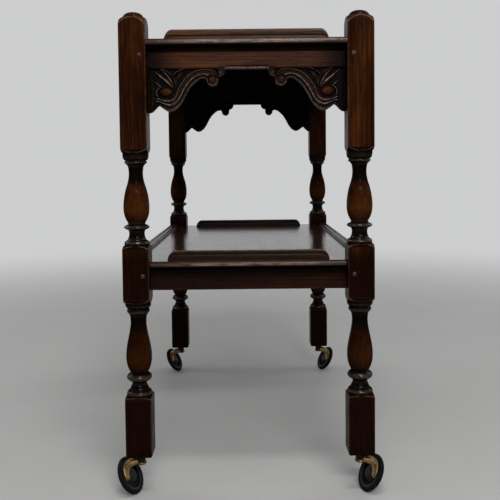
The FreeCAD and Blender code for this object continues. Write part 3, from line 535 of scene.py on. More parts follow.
def new_piece(name, node, finish, vertices, faces, masks, crease, body="frame"):
    """A finished piece in place of a CAD node, with masks at its points and creases past an angle."""
    mesh = new_mesh(name, vertices, faces)
    mesh.validate()
    mesh.materials.append(FINISHES[finish])
    mesh.shade_smooth()
    for label, values in masks.items():
        layer = mesh.attributes.new(label, "FLOAT", "POINT")
        layer.data.foreach_set("value", np.asarray(values, np.float32).ravel())
    mesh.set_sharp_from_angle(angle=math.radians(crease))
    piece = placed(name, mesh)
    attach(piece, body)
    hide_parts(node)


def strip_faces(first, rows, row_length):
    """Faces between closed rows of points."""
    faces = []
    for a in range(first, first + (rows - 1) * row_length, row_length):
        for i in range(row_length):
            j = (i + 1) % row_length
            faces.append((a + i, a + j, a + row_length + j, a + row_length + i))
    return faces


def loft_faces(first, rows, row_length):
    """The same, with both ends closed."""
    last = first + (rows - 1) * row_length
    ends = [tuple(range(start, start + row_length)) for start in (first, last)]
    return strip_faces(first, rows, row_length) + [ends[0][::-1], ends[1]]


def flipped(faces):
    return [tuple(face)[::-1] for face in faces]


def curve_through(points, steps=8):
    """Points along a smooth line through given points."""
    points = np.array(points, float)
    padded = np.vstack([2 * points[0] - points[1], points, 2 * points[-1] - points[-2]])
    t = np.linspace(0, 1, steps, endpoint=False)[:, None]
    runs = []
    for a, b, c, d in zip(padded, padded[1:], padded[2:], padded[3:]):
        bend = 2 * a - 5 * b + 4 * c - d + t * (3 * (b - c) + d - a)
        runs.append(b + 0.5 * t * (c - a + t * bend))
    return np.vstack(runs + [points[-1:]])


def evenly(path, step):
    """The same line cut into equal runs of about the given length."""
    lengths = np.concatenate([[0], np.cumsum(np.linalg.norm(np.diff(path, axis=0), axis=1))])
    marks = np.linspace(0, lengths[-1], max(2, int(round(lengths[-1] / step)) + 1))
    return np.stack([np.interp(marks, lengths, column) for column in path.T], axis=1)


def distance_to(path, places):
    """Each place's distance to a line of points."""
    best = np.full(len(places), np.inf)
    for a, b in zip(path, path[1:]):
        run = b - a
        share = np.clip(((places - a) @ run) / max(run @ run, 1e-9), 0, 1)
        best = np.minimum(best, np.linalg.norm(places - (a + share[:, None] * run), axis=1))
    return best


def within(outline, places):
    """Which places lie inside a closed outline."""
    inside = np.zeros(len(places), bool)
    x, y = places.T
    for (ax, ay), (bx, by) in zip(outline, np.roll(outline, -1, axis=0)):
        crosses = (ay > y) != (by > y)
        with np.errstate(divide="ignore", invalid="ignore"):
            inside ^= crosses & (x < (bx - ax) * (y - ay) / (by - ay) + ax)
    return inside


def pairs(first, second):
    return np.stack(np.broadcast_arrays(first, second), axis=1)


def soft_step(value, low, high):
    share = np.clip((value - low) / (high - low), 0, 1)
    return share * share * (3 - 2 * share)


def plateau(value, rise, fall):
    """One between two ranges, falling softly to nothing outside them."""
    return soft_step(value, *rise) * (1 - soft_step(value, *fall))


def hump(value, centre, width):
    return np.exp(-((value - centre) / width) ** 2)


def ridges(value, rows):
    """The highest of several humps, from rows of centre, width and strength."""
    return np.max([strength * hump(value, centre, width) for centre, width, strength in rows], axis=0)


# Carved friezes. Places on a bracket are (inwards from the leg, down from the frieze's lower edge).
LOBE = [(0, 71), (4.5, 70), (9, 66.3), (13, 62), (16.9, 58.9)]
VOLUTE_FOOT = [(16.9, 58.9), (21, 62.2), (25.5, 65.5), (30.5, 68.4), (35.5, 69.2), (41.4, 67.0)]
SCROLL_LOWER = [(41.4, 67.0), (48.2, 61.5), (55, 52.3), (60.4, 41.8), (65.9, 32.6), (71.3, 26.0),
                (78.1, 19.6), (84.8, 15.4), (91.0, 14.6), (95.4, 17.0)]
CURL_EDGE = [(95.4, 17.0), (95.9, 22.0), (99.6, 26.4), (104.7, 27.9), (109.9, 26.4), (113.6, 22.0),
             (114.2, 17.0), (114.6, 12.4)]
STEP_EDGE = [(114.6, 12.4), (117.5, 11.6), (121.2, 9.6), (124.2, 5.8), (125.6, 1.6), (126.2, 0.0)]
SCROLL_UPPER = [(114.2, 17.0), (112.6, 9.6), (109.0, 4.0), (103.6, 1.3), (95.6, 0.6), (87.6, 0.9),
                (79.6, 2.3), (73, 4.9), (66.3, 9.0), (60.9, 14.0), (56.6, 19.6), (50.2, 29.4),
                (46.0, 38.5), (43.0, 44.6), (36.4, 48.2), (27.1, 49.0), (20.4, 48.0), (15.5, 45.2)]
VOLUTE_END = [(15.5, 45.2), (12.6, 49.0), (13.6, 54.6), (16.9, 58.9)]
# Across the scroll, from its upper lip to its lower edge: the share of its width, and the height.
SCROLL_SECTION = [(0.0, -3.2), (0.035, -1.0), (0.075, -0.1), (0.12, -1.2), (0.20, -3.0), (0.32, -3.9),
                  (0.44, -3.1), (0.54, -1.1), (0.60, 0.0), (0.66, -1.0), (0.76, -3.2), (0.86, -4.2),
                  (0.92, -3.6), (0.96, -2.6), (1.0, -4.2)]
# Pale lips of the scroll, and of its coils in the volute: share of the width, reach, and how pale.
# The pale lips and coils are rubbed wood, and also painted highlights.
LIPS = [(0.60, 0.040, 1.0), (0.075, 0.028, 0.7), (0.965, 0.022, 0.85)]
COILS = [(0.20, 0.045, 0.8), (0.50, 0.045, 0.6), (0.93, 0.05, 0.9)]
VOLUTE_RUN = 52, 36
COIL_PITCH, COIL_LEVEL, COIL_RISE = 0.32, -2.4, 1.9
CURL_CENTRE, CURL_RADIUS, CURL_LEVEL = (104.7, 18.6), 9.3, -3.9
EYE_CENTRE, EYE_RADII, EYE_LEVEL, EYE_RISE = (28.4, 37.8), (11.0, 7.2), -5.2, 5.0
# Leaves: the line along each one, its half width in the middle, its height, and how pale its crest is rubbed.
LEAVES = [
    ([(11.0, 4.2), (16.0, 8.6), (21.5, 13.4), (30.2, 20.4), (36.0, 26.0), (40.0, 31.0)], 4.3, 4.6, 1.0),
    ([(22.0, 1.8), (28.0, 7.0), (34.2, 15.2), (38.4, 22.0), (41.2, 28.4)], 3.0, 3.9, 0.7),
    ([(19.0, 0.2), (25.0, 1.4), (30.5, 3.6), (35.2, 7.2), (39.0, 11.6)], 1.5, 4.4, 0.75),
    ([(39.0, 11.6), (43.0, 8.0), (47.7, 4.6), (53.6, 1.8), (60.0, -0.4)], 1.5, 4.6, 0.75),
    ([(11.4, 21.0), (14.6, 24.0), (18.0, 27.0), (21.6, 30.2)], 2.6, 4.2, 0.9),
    ([(18.0, 48.4), (14.6, 43.6), (13.8, 37.6), (16.4, 32.2), (21.6, 29.0)], 1.7, 4.4, 0.85),
    ([(40.0, 13.0), (43.6, 19.0), (44.6, 25.0), (43.6, 31.0)], 4.2, 3.0, 0.1),
    ([(60.0, 3.0), (53.0, 8.6), (48.6, 15.0), (46.4, 22.0)], 4.0, 3.0, 0.1),
    ([(2.0, 8.0), (4.6, 22.0), (6.0, 36.0), (5.2, 46.0)], 3.6, 1.2, 0.0),
    ([(6.6, 33.0), (7.2, 45.0), (6.4, 57.0), (3.0, 68.0)], 3.8, 1.4, 0.05),
]
GROUND_DEPTH, BROAD_LEAF, LEAF_STEP = 6.4, 2.9, 1.5
TOOL_WAVES, TOOL_DEPTH, TOOL_SEED = 10, 0.055, 7
RELIEF_STEP, BAND_STEP = 0.65, 1.3
BEAD_LINE, BEAD_WIDTH, BEAD_DEPTH, BEAD_SHADE = -3.4, 0.66, 1.6, 0.8
STEP_PLATE, STEP_RUBBED_GLINT, STEP_RUBBED_GLINT_SIZE, STEP_END = 114.6, (118.6, 6.6), 1.8, 126
BRACKET_REACH, BRACKET_TOP, PLAIN_START = 128, -3, 125.5
EDGE_ROUND, FRIEZE_CREASE = 1.5, 62
# Painted shade on the sawn edge; the nosing's painted shadow down from the frieze's top, and painted shade in from
# each leg.
SAWN_EDGE_SHADE = 0.8
NOSING_SHADOW_ON_FRIEZE, LEG_SHADE_ON_FRIEZE = (-23.0, -36.0), (60.0, 8.0)


def smooth_section(section):
    share, height = np.array(section).T
    fine = np.linspace(0, 1, 401)
    kernel = np.hanning(17)
    rough = np.pad(np.interp(fine, share, height), len(kernel) // 2, mode="edge")
    return fine, np.convolve(rough, kernel / kernel.sum(), mode="valid")


def leaf_relief(places, height):
    """The leaves on their ground: the height of both, and the leaves' rubbed crests."""
    crest = np.zeros(len(places))
    for line, half_width, rise, pale in LEAVES:
        path = evenly(curve_through(line), LEAF_STEP)
        ends = np.min([np.linalg.norm(places - tip, axis=1) for tip in (path[0], path[-1])], axis=0)
        taper = half_width * (0.35 + 0.65 * soft_step(ends, 0, half_width * 3.5))
        share = np.clip(1 - distance_to(path, places) / taper, 0, 1)
        ribs = np.cos(share * 2 * math.pi) * (half_width > BROAD_LEAF)
        blade = -GROUND_DEPTH + (rise + 0.9) * share ** 0.62 + 0.45 * ribs * (share > 0.12)
        rubbed = np.maximum(soft_step(share, 0.66, 0.94), 0.75 * soft_step(ribs, 0.55, 0.95) * (share > 0.2))
        crest = np.where(blade > height, pale * rubbed, crest)
        height = np.maximum(height, np.where(share > 0, blade, -GROUND_DEPTH))
    return height, crest


def scroll_relief(places):
    """Which places are on the scroll, and its height, pale lips and dark channels."""
    upper = curve_through(SCROLL_UPPER)
    lower = np.vstack([curve_through(CURL_EDGE[::-1])[:-1], curve_through(SCROLL_LOWER[::-1])[:-1],
                       curve_through(VOLUTE_FOOT[::-1])])
    band = np.vstack([upper, curve_through(VOLUTE_END)[1:], lower[::-1][1:]])
    to_upper, to_lower = distance_to(upper, places), distance_to(lower, places)
    share = to_upper / np.maximum(to_upper + to_lower, 1e-6)
    in_volute = soft_step(places[:, 0], *VOLUTE_RUN)
    height, lips = np.interp(share, *smooth_section(SCROLL_SECTION)), ridges(share, LIPS)
    coil = COIL_LEVEL + COIL_RISE * np.cos((share - COILS[0][0]) * 2 * math.pi / COIL_PITCH)
    height = height + in_volute * (coil - height)
    lips = lips + in_volute * (ridges(share, COILS) - lips)
    channel = np.maximum(plateau(share, (0.64, 0.72), (0.90, 0.95)),
                         0.7 * plateau(share, (0.14, 0.24), (0.40, 0.52)))
    return within(band, places), height, lips, channel


def bracket_relief(places, seed):
    """Height of the carving below the frieze's face, and its crest, hollow and boss masks."""
    inwards, down = places.T
    on_step = inwards > STEP_PLATE
    ground = np.where(on_step, -1.6 * soft_step(down, 2.0, 12.0), -GROUND_DEPTH * soft_step(down, -1.2, 1.6))
    height, crest = leaf_relief(places, ground)
    on_scroll, scroll, lips, channel = scroll_relief(places)
    height, crest = np.where(on_scroll, scroll, height), np.where(on_scroll, lips, crest)
    across = np.hypot(*((places - EYE_CENTRE) / EYE_RADII).T)
    on_eye = across < 1
    height = np.where(on_eye, EYE_LEVEL + EYE_RISE * np.sqrt(np.clip(1 - across ** 2, 0, 1)), height)
    crest = np.where(on_eye, 0, crest)
    boss = np.where(on_eye, soft_step(1 - across, 0.12, 0.45), 0)
    around = np.hypot(*(places - CURL_CENTRE).T) / CURL_RADIUS
    on_curl = around < 1
    button = 3.6 * np.sqrt(np.clip(1 - (around / 0.72) ** 2, 0, 1))
    curl = CURL_LEVEL + np.where(around < 0.70, button, 2.6 * hump(around, 0.87, 0.085))
    height = np.where(on_curl, curl, height)
    # A pale rim on the lower half of the curl: rubbed wood, and a painted highlight.
    crest = np.where(on_curl, 0.8 * hump(around, 0.88, 0.06) * (down > CURL_CENTRE[1] - 2), crest)
    boss = np.where(around < 0.6, 0.12, boss)
    tool = np.random.default_rng(seed)
    for _ in range(TOOL_WAVES):
        angle, pitch, turn = tool.uniform(0, math.pi), tool.uniform(0.35, 1.1), tool.uniform(0, 2 * math.pi)
        ripple = np.sin((inwards * math.cos(angle) + down * math.sin(angle)) * pitch + turn)
        height = height + TOOL_DEPTH * ripple * soft_step(down, -1.0, 4.0)
    in_carving = soft_step(down, -0.5, 2.0) * (inwards < STEP_END)
    # Painted shade: the deep and sunk ground, the scroll's channels, the curl and the step; the bosses stay clear.
    hollow = np.maximum(soft_step(-height, 3.2, 5.4), 0.56 * in_carving)
    hollow = np.where(on_scroll, np.maximum(0.64, 0.90 * channel), hollow)
    hollow = np.where(on_curl, np.maximum(hollow, 0.80), hollow)
    hollow = np.where(on_step, 0.86, hollow) * (1 - np.clip(1.3 * boss, 0, 1))
    # A pale spot on the step: a rubbed spot, and a painted highlight.
    rubbed_glint = hump(np.hypot(*(places - STEP_RUBBED_GLINT).T), 0, STEP_RUBBED_GLINT_SIZE)
    return np.minimum(height, 0), {"crest": np.maximum(crest, 0.35 * rubbed_glint), "hollow": hollow, "boss": boss}


def frieze_relief(flat, half_span, seed):
    """Heights and masks of the whole frieze: a plain band with a worked edge, and a bracket at each end."""
    across, down = flat.T
    places = pairs(half_span - np.abs(across), down)
    inwards = places[:, 0]
    in_bracket = (inwards < BRACKET_REACH) & (down > BRACKET_TOP)
    worked, marks = bracket_relief(places[in_bracket], seed)
    height, masks = np.zeros(len(places)), {name: np.zeros(len(places)) for name in marks}
    height[in_bracket] = worked
    for name, values in marks.items():
        masks[name][in_bracket] = values
    plain = inwards > PLAIN_START
    groove = BEAD_DEPTH * hump(down, BEAD_LINE, BEAD_WIDTH)
    height = np.where(plain, -groove - EDGE_ROUND * soft_step(down, -2.2, 0.2), height)
    # A pale line along the lower arris: rubbed wood, and a painted highlight.
    masks["crest"] = np.where(plain, soft_step(down, -2.2, -1.3), masks["crest"])
    # Painted shade in the groove and near the legs, and the nosing's painted shadow along the frieze's top.
    hollow = np.where(plain, hump(down, BEAD_LINE, BEAD_SHADE), masks["hollow"])
    painted_shadow = np.maximum(soft_step(down, *NOSING_SHADOW_ON_FRIEZE), 0.92 * soft_step(inwards, *LEG_SHADE_ON_FRIEZE))
    masks["hollow"] = np.maximum(hollow, painted_shadow)
    return height, masks


def carve_frieze(end, sign):
    node = f"upper_end_frieze_{end}"
    low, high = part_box(node)
    face, back = (low.y / MM, high.y / MM)[::-sign]
    half_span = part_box(f"leg_{end}_right")[0].x / MM
    drop = LOBE[0][1]
    edge_z = low.z / MM + drop
    top = edge_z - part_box("upper_shelf_board")[0].z / MM
    runs = [curve_through(line)[:-1] for line in (LOBE, VOLUTE_FOOT, SCROLL_LOWER, CURL_EDGE)]
    left = evenly(np.vstack(runs + [curve_through(STEP_EDGE)]), RELIEF_STEP)
    flat_run = np.linspace(-half_span + left[-1][0], half_span - left[-1][0], 90)[1:-1]
    side_run = np.linspace(drop, top, 60)[1:-1]
    outline = np.vstack([
        left + (-half_span, 0), pairs(flat_run, 0), left[::-1] * (-1, 1) + (half_span, 0),
        pairs(half_span, side_run), pairs(np.linspace(half_span, -half_span, int(half_span)), top),
        pairs(-half_span, side_run[::-1]),
    ])
    rows = np.concatenate([np.arange(top + RELIEF_STEP, -3.2, BAND_STEP), np.arange(-4.0, drop, RELIEF_STEP)])
    grid_x, grid_y = np.meshgrid(np.arange(-half_span + RELIEF_STEP, half_span, RELIEF_STEP), rows)
    grid_x[1::2] += RELIEF_STEP / 2
    inner = pairs(grid_x.ravel(), grid_y.ravel())
    inner = inner[within(outline, inner)]
    inner = inner[distance_to(np.vstack([outline, outline[:1]]), inner) > 0.5 * RELIEF_STEP]
    count = len(outline)
    rim = [(i, (i + 1) % count) for i in range(count)]
    points = [Vector(place) for place in np.vstack([outline, inner])]
    flat, _, faces, *_ = delaunay_2d_cdt(points, rim, [list(range(count))], 1, 1e-5)
    flat = np.array([tuple(place) for place in flat])
    height, masks = frieze_relief(flat, half_span, TOOL_SEED + sign)
    front = np.stack([flat[:, 0], face + sign * height, edge_z - flat[:, 1]], axis=1) * MM
    # The sawn edge has its own points, so that the rubbed crests stop at its arris; the edge is painted shade.
    rim_front = front[:count]
    rim_back = rim_front * (1, 0, 1) + (0, back * MM, 0)
    walls = strip_faces(len(front), 2, count)
    rear = list(range(len(front) + count, len(front) + 2 * count))
    faces, walls = (faces, flipped(walls)) if sign > 0 else (flipped(faces), walls)
    sawn = {"crest": 0.0, "hollow": SAWN_EDGE_SHADE, "boss": 0.0}
    masks = {name: np.r_[values, np.full(2 * count, sawn[name])] for name, values in masks.items()}
    new_piece(f"carved_frieze_{end}", node, "carved_oak", np.vstack([front, rim_front, rim_back]),
              [*faces, *walls, rear], masks, FRIEZE_CREASE)


for end_name, end_sign in ENDS.items():
    carve_frieze(end_name, end_sign)


# Turned legs. A turning runs from the block above it to the block below: shares of half the leg's side, and
# of the turning's length. A pair is a place that an arc passes and the place where it ends.
LEG_CAP = [(0.4, 0.0), (8.6, 1.2), (13.6, 3.6), (16.2, 6.6), (16.6, 8.2)]
LEG_SHOULDER = [(16.6, 8.2), (19.0, 9.2), (21.5, 10.8), (25.2, 14.0), (28.4, 18.0), (31.2, 23.5)]
UPPER_SHARES = [
    (1.45, 0.0), ((1.24, 0.026), (0.99, 0.045)), ((0.955, 0.096), (0.81, 0.119)), (0.80, 0.127),
    ((0.86, 0.138), (0.80, 0.149)), ((0.63, 0.170), (0.57, 0.196)), ((0.555, 0.285), (0.76, 0.390)),
    ((0.925, 0.485), (0.985, 0.575)), ((0.915, 0.660), (0.68, 0.728)), (0.65, 0.750),
    ((0.972, 0.778), (0.65, 0.806)), ((0.585, 0.845), (0.66, 0.888)), ((0.75, 0.908), (0.88, 0.916)),
    ((0.965, 0.936), (0.93, 0.956)), (0.99, 0.960), ((1.24, 0.972), (1.45, 1.0)),
]
LOWER_SHARES = [
    (1.45, 0.0), ((1.27, 0.033), (0.99, 0.050)), ((0.975, 0.080), (0.90, 0.098)), (0.80, 0.110),
    ((0.87, 0.132), (0.80, 0.154)), ((0.655, 0.178), (0.605, 0.228)), ((0.625, 0.290), (0.755, 0.385)),
    ((0.925, 0.495), (0.985, 0.575)), ((0.935, 0.660), (0.72, 0.735)), (0.67, 0.752),
    ((0.972, 0.796), (0.66, 0.838)), ((0.565, 0.858), (0.63, 0.886)), ((0.74, 0.916), (0.90, 0.936)),
    ((0.985, 0.956), (0.95, 0.976)), (0.99, 0.980), ((1.24, 0.988), (1.45, 1.0)),
]
UPPER_SPAN, LOWER_SPAN = (571.0, 406.0), (327.0, 161.0)
# Each turning's span, the glow of its belly, and how dark its rings and necks are: darker stain on the rings,
# painted shade in the necks.
TURNINGS = [(UPPER_SPAN, 1.0, 0.96), (LOWER_SPAN, 0.7, 0.94)]
BELLY_SHARE, BELLY_REACH = 0.60, 0.10
VASE_START, VASE_END, RING_RUN = (0.20, 0.44), (0.69, 0.745), (0.012, 0.988)
FOOT_BEVEL, BORE_RADIUS, BORE_DEPTH = (2.0, 3.0), 6.1, 37.0
LEG_SEGMENTS, CORNER_GATHER, ARC_STEPS = 96, 0.17, 10
ARRIS_POWER, SHOULDER_POWER, LEG_CREASE = 46, 70, 48
OUTSIDE_SHARE, BLOCK_SHARE = 2.0, 1.4
PROFILE_STEP, PROFILE_REACH, PROFILE_SOFTNESS = 0.25, 60, 5.0
CREST_RISE, HOLLOW_DEPTH = 1.5, 1.6
ARRIS_WEAR, ARRIS_WIDTH, SHOULDER_WIDTH = 0.34, math.radians(1.6), 0.9
# How strongly painted shade darkens the leg below the upper turning, and the lower turning.
LOW_LEG_SHADE_SHARE, LOWER_TURNING_SHADE = 0.84, 0.25
BLOCK_GLOSS, CAP_GLOSS, RING_GLOSS, VASE_GLOSS = 0.07, 0.14, 0.58, 0.015


def turned_run(shares, half, span):
    """The radius and height of each ring of one turning."""
    top, bottom = span
    rings = []
    for row in shares:
        if isinstance(row[0], tuple):
            middle, end = np.array(row)
            last = rings[-1]
            pull = 2 * middle - (last + end) / 2
            for t in np.linspace(0, 1, ARC_STEPS)[1:]:
                rings.append((1 - t) ** 2 * last + 2 * t * (1 - t) * pull + t * t * end)
        else:
            rings.append(np.array(row))
    return [(half * r, top + share * (bottom - top)) for r, share in rings]


def leg_rings(half, top, foot):
    outside = half * OUTSIDE_SHARE
    rings = [(r, top - drop) for r, drop in curve_through(LEG_CAP, 6)]
    rings += [(r, top - drop) for r, drop in evenly(curve_through(LEG_SHOULDER, 6), 0.7)[1:]]
    rings += [(outside, z) for z in np.linspace(top - LEG_SHOULDER[-1][1], UPPER_SPAN[0], 14)[1:-1]]
    rings += turned_run(UPPER_SHARES, half, UPPER_SPAN)
    rings += [(outside, z) for z in np.linspace(UPPER_SPAN[1], LOWER_SPAN[0], 6)[1:-1]]
    rings += turned_run(LOWER_SHARES, half, LOWER_SPAN)
    rings += [(outside, z) for z in np.linspace(LOWER_SPAN[1], foot + FOOT_BEVEL[1], 8)[1:]]
    return np.array(rings + [(outside, foot), (BORE_RADIUS, foot), (BORE_RADIUS, foot + BORE_DEPTH)])


def softened(z, outer, foot):
    """The leg's outline with its mouldings smoothed away."""
    fine = np.arange(foot, z.max(), PROFILE_STEP)
    order = np.argsort(z[:-1])
    along = np.interp(fine, z[:-1][order], outer[:-1][order])
    kernel = hump(np.arange(-PROFILE_REACH, PROFILE_REACH + 1) * PROFILE_STEP, 0, PROFILE_SOFTNESS)
    padded = np.pad(along, PROFILE_REACH, mode="edge")
    return np.interp(z, fine, np.convolve(padded, kernel / kernel.sum(), mode="valid"))


def leg_masks(rings, half, foot, angles, square):
    """Painted shade, glowing bellies, and rubbed rings and arrises with painted highlight, for each point of each
    ring.
    """
    radius, z = rings.T
    outer = np.minimum(radius, half)
    proud = outer - softened(z, outer, foot)
    in_upper, in_lower = ((z < top) & (z > bottom) for (top, bottom), *_ in TURNINGS)
    turned = in_upper | in_lower
    ring = turned & (outer < 0.99 * half)
    crest = np.where(ring, np.clip(proud / CREST_RISE, 0, 1), 0)
    # Painted shade in the turned hollows and narrow necks.
    deep = np.maximum(np.clip(-proud / HOLLOW_DEPTH, 0, 1), soft_step(outer / half, 0.74, 0.60))
    hollow = np.where(ring, deep, 0)
    belly, dark = np.zeros(len(rings)), np.zeros(len(rings))
    for (top, bottom), glow, stain in TURNINGS:
        share = (top - z) / (top - bottom)
        belly += glow * hump(share, BELLY_SHARE, BELLY_REACH)
        on_ring = (share > RING_RUN[0]) & (share < RING_RUN[1])
        # Darker stain on the rings, and painted shade in the necks, outside the vase.
        dark += np.where(on_ring, stain * (1 - plateau(share, VASE_START, VASE_END)), 0)
    in_block = radius > BLOCK_SHARE * half
    corner = hump(np.mod(angles, math.pi / 2), math.pi / 4, ARRIS_WIDTH)
    # A pale line where the turned shoulder meets the block's faces: a rubbed arris, and a painted highlight.
    shoulder_wear_and_highlight = hump(square, radius[:, None], SHOULDER_WIDTH) * ((radius > half) & ~in_block)[:, None]
    edge = np.maximum(ARRIS_WEAR * corner * in_block[:, None], shoulder_wear_and_highlight)
    # Painted shade below the upper turning, weaker on the lower turning.
    block = LOW_LEG_SHADE_SHARE * soft_step(z, UPPER_SPAN[1] + 4, UPPER_SPAN[1] - 8)
    block = np.where(in_lower, LOWER_TURNING_SHADE, block)
    plain = soft_step(np.abs(proud), 1.1, 0.2)
    gloss = np.where(turned, RING_GLOSS + (VASE_GLOSS - RING_GLOSS) * plain, CAP_GLOSS) * (1 - 0.5 * hollow)
    gloss = np.where(square < radius[:, None], BLOCK_GLOSS, gloss[:, None])
    rows = {"crest": crest, "hollow": np.maximum(hollow, dark), "belly": belly, "block": block}
    masks = {name: np.repeat(values, len(angles)) for name, values in rows.items()}
    return {**masks, "edge": edge, "gloss": gloss}


def turn_leg(end, side):
    """One leg: a square post whose corners are turned away between its blocks."""
    node = f"leg_{end}_{side}"
    low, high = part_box(node)
    half = (high.x - low.x) / MM / 2
    middle = ((low + high) / 2) / MM
    foot = low.z / MM
    rings = leg_rings(half, high.z / MM, foot)
    radius, z = rings.T
    even = np.arange(LEG_SEGMENTS) * 2 * math.pi / LEG_SEGMENTS
    angles = even + CORNER_GATHER * np.sin(4 * even)
    cosine, sine = np.cos(angles), np.sin(angles)
    unit = (np.abs(cosine) ** ARRIS_POWER + np.abs(sine) ** ARRIS_POWER) ** (-1 / ARRIS_POWER)
    square = np.outer(half - np.where(z < foot + 0.01, FOOT_BEVEL[0], 0.0), unit)
    inverse = (square / half) ** -SHOULDER_POWER + (radius[:, None] / half) ** -SHOULDER_POWER
    reach = inverse ** (-1 / SHOULDER_POWER) * half
    places = np.broadcast_arrays(middle.x + reach * cosine, middle.y + reach * sine, z[:, None])
    new_piece(f"turned_leg_{end}_{side}", node, "turned_oak", np.stack(places, axis=2).reshape(-1, 3) * MM,
              flipped(loft_faces(0, len(rings), LEG_SEGMENTS)), leg_masks(rings, half, foot, angles, square),
              LEG_CREASE)


for end_name, side_name in product(ENDS, SIDES):
    turn_leg(end_name, side_name)


# Gallery strips: a board on edge with rounded ends, a groove along each face and a softened top
GALLERY_ROUND, GALLERY_END_RUN, GALLERY_END_POWER, GALLERY_CREASE = 1.7, 13.5, 1.9, 50
GROOVE_HEIGHT, GROOVE_WIDTH = 8.6, 1.7
GROOVE_DEPTHS = {"upper": 1.3, "lower": 0.6}
TOP_WEAR, LEAST_RISE = 0.6, 0.02


def gallery_section(height, thickness, groove):
    """Half of the strip's section, from its foot to the middle of its top: depth, height and band mask."""
    low, high = GROOVE_HEIGHT - GROOVE_WIDTH / 2, GROOVE_HEIGHT + GROOVE_WIDTH / 2
    points = [(0.0, 0.0, 0.4), (0.0, low * 0.5, 1.0), (0.0, low - 0.4, 1.0), (0.15, low, 1.0),
              (groove, GROOVE_HEIGHT, 0.0), (0.15, high, 0.0), (0.0, high + 0.4, 0.0),
              (0.0, (high + height) / 2, 0.0)]
    for angle in np.linspace(0, math.pi / 2, 7):
        depth = GALLERY_ROUND * (1 - math.cos(angle))
        points.append((depth, height - GALLERY_ROUND * (1 - math.sin(angle)), 0.0))
    points.append((thickness / 2, height, 0.0))
    return np.array(points)


def work_gallery(shelf, end):
    node = f"{shelf}_gallery_{end}"
    low, high = (np.array(corner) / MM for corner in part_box(node))
    shelf_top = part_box(f"{shelf}_shelf_board")[1].z / MM
    height, thickness, foot = high[2] - shelf_top, high[1] - low[1], low[2] - shelf_top
    half = gallery_section(height, thickness, GROOVE_DEPTHS[shelf])
    section = np.vstack([half, half[::-1][1:] * (-1, 1, 1) + (thickness, 0, 0)])
    left = low[0] + GALLERY_END_RUN * (1 - np.cos(np.linspace(0, math.pi / 2, 16)))
    stations = np.concatenate([left, np.linspace(left[-1], -left[-1], 40)[1:-1], -left[::-1]])
    inwards = np.clip(np.minimum(stations - low[0], high[0] - stations) / GALLERY_END_RUN, 0, 1)
    rises = np.maximum((1 - (1 - inwards) ** GALLERY_END_POWER) ** (1 / GALLERY_END_POWER), LEAST_RISE)
    vertices, masks = [], {"band": [], "hollow": [], "edge": []}
    for x, rise in zip(stations, rises):
        raised = [(y, z * rise, band) for y, z, band in section]
        for y, z, band in [(0.0, foot, 0.0), *raised, (thickness, foot, 0.0)]:
            vertices.append((x * MM, (low[1] + y) * MM, (shelf_top + z) * MM))
            depth, level = min(y, thickness - y), z / rise
            masks["band"].append(band)
            masks["hollow"].append(abs(level - GROOVE_HEIGHT) < GROOVE_WIDTH and depth > 0.5)
            masks["edge"].append(TOP_WEAR * (level > height - GALLERY_ROUND and depth < GALLERY_ROUND))
    new_piece(f"grooved_gallery_{shelf}_{end}", node, "gallery_oak", vertices,
              loft_faces(0, len(stations), len(section) + 2), masks, GALLERY_CREASE)


for shelf_name, end_name in product(SHELVES, ENDS):
    work_gallery(shelf_name, end_name)


# Caster hoods, cast in one piece: a collar on the stem, a neck over the rim and an arm round the dish. Places
# on the arm's section are (out from the axle, along it), and angles go round the axle from its lowest side.
ARM_SECTION = [(8.0, -3.8), (21.2, -3.8), (21.3, 3.9), (24.4, 3.9), (24.9, 4.7), (24.3, 6.2), (22.4, 7.9),
               (19.2, 9.2), (15.6, 9.6), (12.6, 9.2), (10.6, 8.2), (9.6, 6.9), (9.9, 6.2), (14.9, 5.2),
               (14.9, -1.0), (8.0, -1.0)]
ARM_MIDDLE, ARM_SEAT, ARM_FACE = 18.8, 3.0, 2.0
ARM_START, ARM_END, ARM_ROUND, ARM_TAIL, ARM_SINK = 160.0, 282.0, 13.0, 0.68, 0.3
COLLAR_PROFILE = [(4.2, 47.5), (7.8, 47.5), (8.9, 48.1), (9.3, 49.4), (8.9, 50.7), (7.9, 51.5), (7.6, 53.0),
                  (7.5, 59.6), (8.1, 60.6), (8.4, 61.6), (8.0, 62.3), (4.2, 62.3)]
COLLAR_BRIGHT = 51.4
# Neck: each place's distance out from the axle and along it, and half the neck's width and thickness there.
NECK_STATIONS = [(18.6, 5.5, 10.5, 5.0), (17.6, 9.0, 10.4, 7.0), (17.8, 14.0, 8.8, 6.6)]
NECK_END, NECK_END_HEIGHT, NECK_END_REACH, NECK_STEPS = (6.8, 6.0), 54.6, 2.0, 5
CASTING_VOXEL, CASTING_ROUNDS, HOOD_CREASE = 0.6, 10, 60
NECK_SEGMENTS, COLLAR_SEGMENTS = 28, 40
RUBBED_LIP, RUBBED_LIP_WIDTH, RUBBED_LIP_RISE, RUBBED_LIP_WEAR = 15.5, 3.6, (5.5, 7.5), 0.55


def arm_points(rings):
    """The arm's sections round the axle."""
    points = []
    for angle in rings:
        left = np.clip((ARM_END - angle) / ARM_ROUND, 0.02, 1)
        tail = (angle - ARM_START) / (ARM_END - ARM_START)
        rounded = math.sqrt(1 - (1 - left) ** 2)
        width = (1 - (1 - ARM_TAIL) * soft_step(tail, 0.25, 1.0)) * rounded
        rise = (1 - ARM_SINK * tail) * rounded
        turn = math.radians(angle)
        for out, along in ARM_SECTION:
            out = ARM_MIDDLE + (out - ARM_MIDDLE) * width if along > ARM_FACE else out
            along = ARM_SEAT + (along - ARM_SEAT) * rise if along > ARM_SEAT else along
            points.append((out * math.cos(turn), out * math.sin(turn), along))
    return points


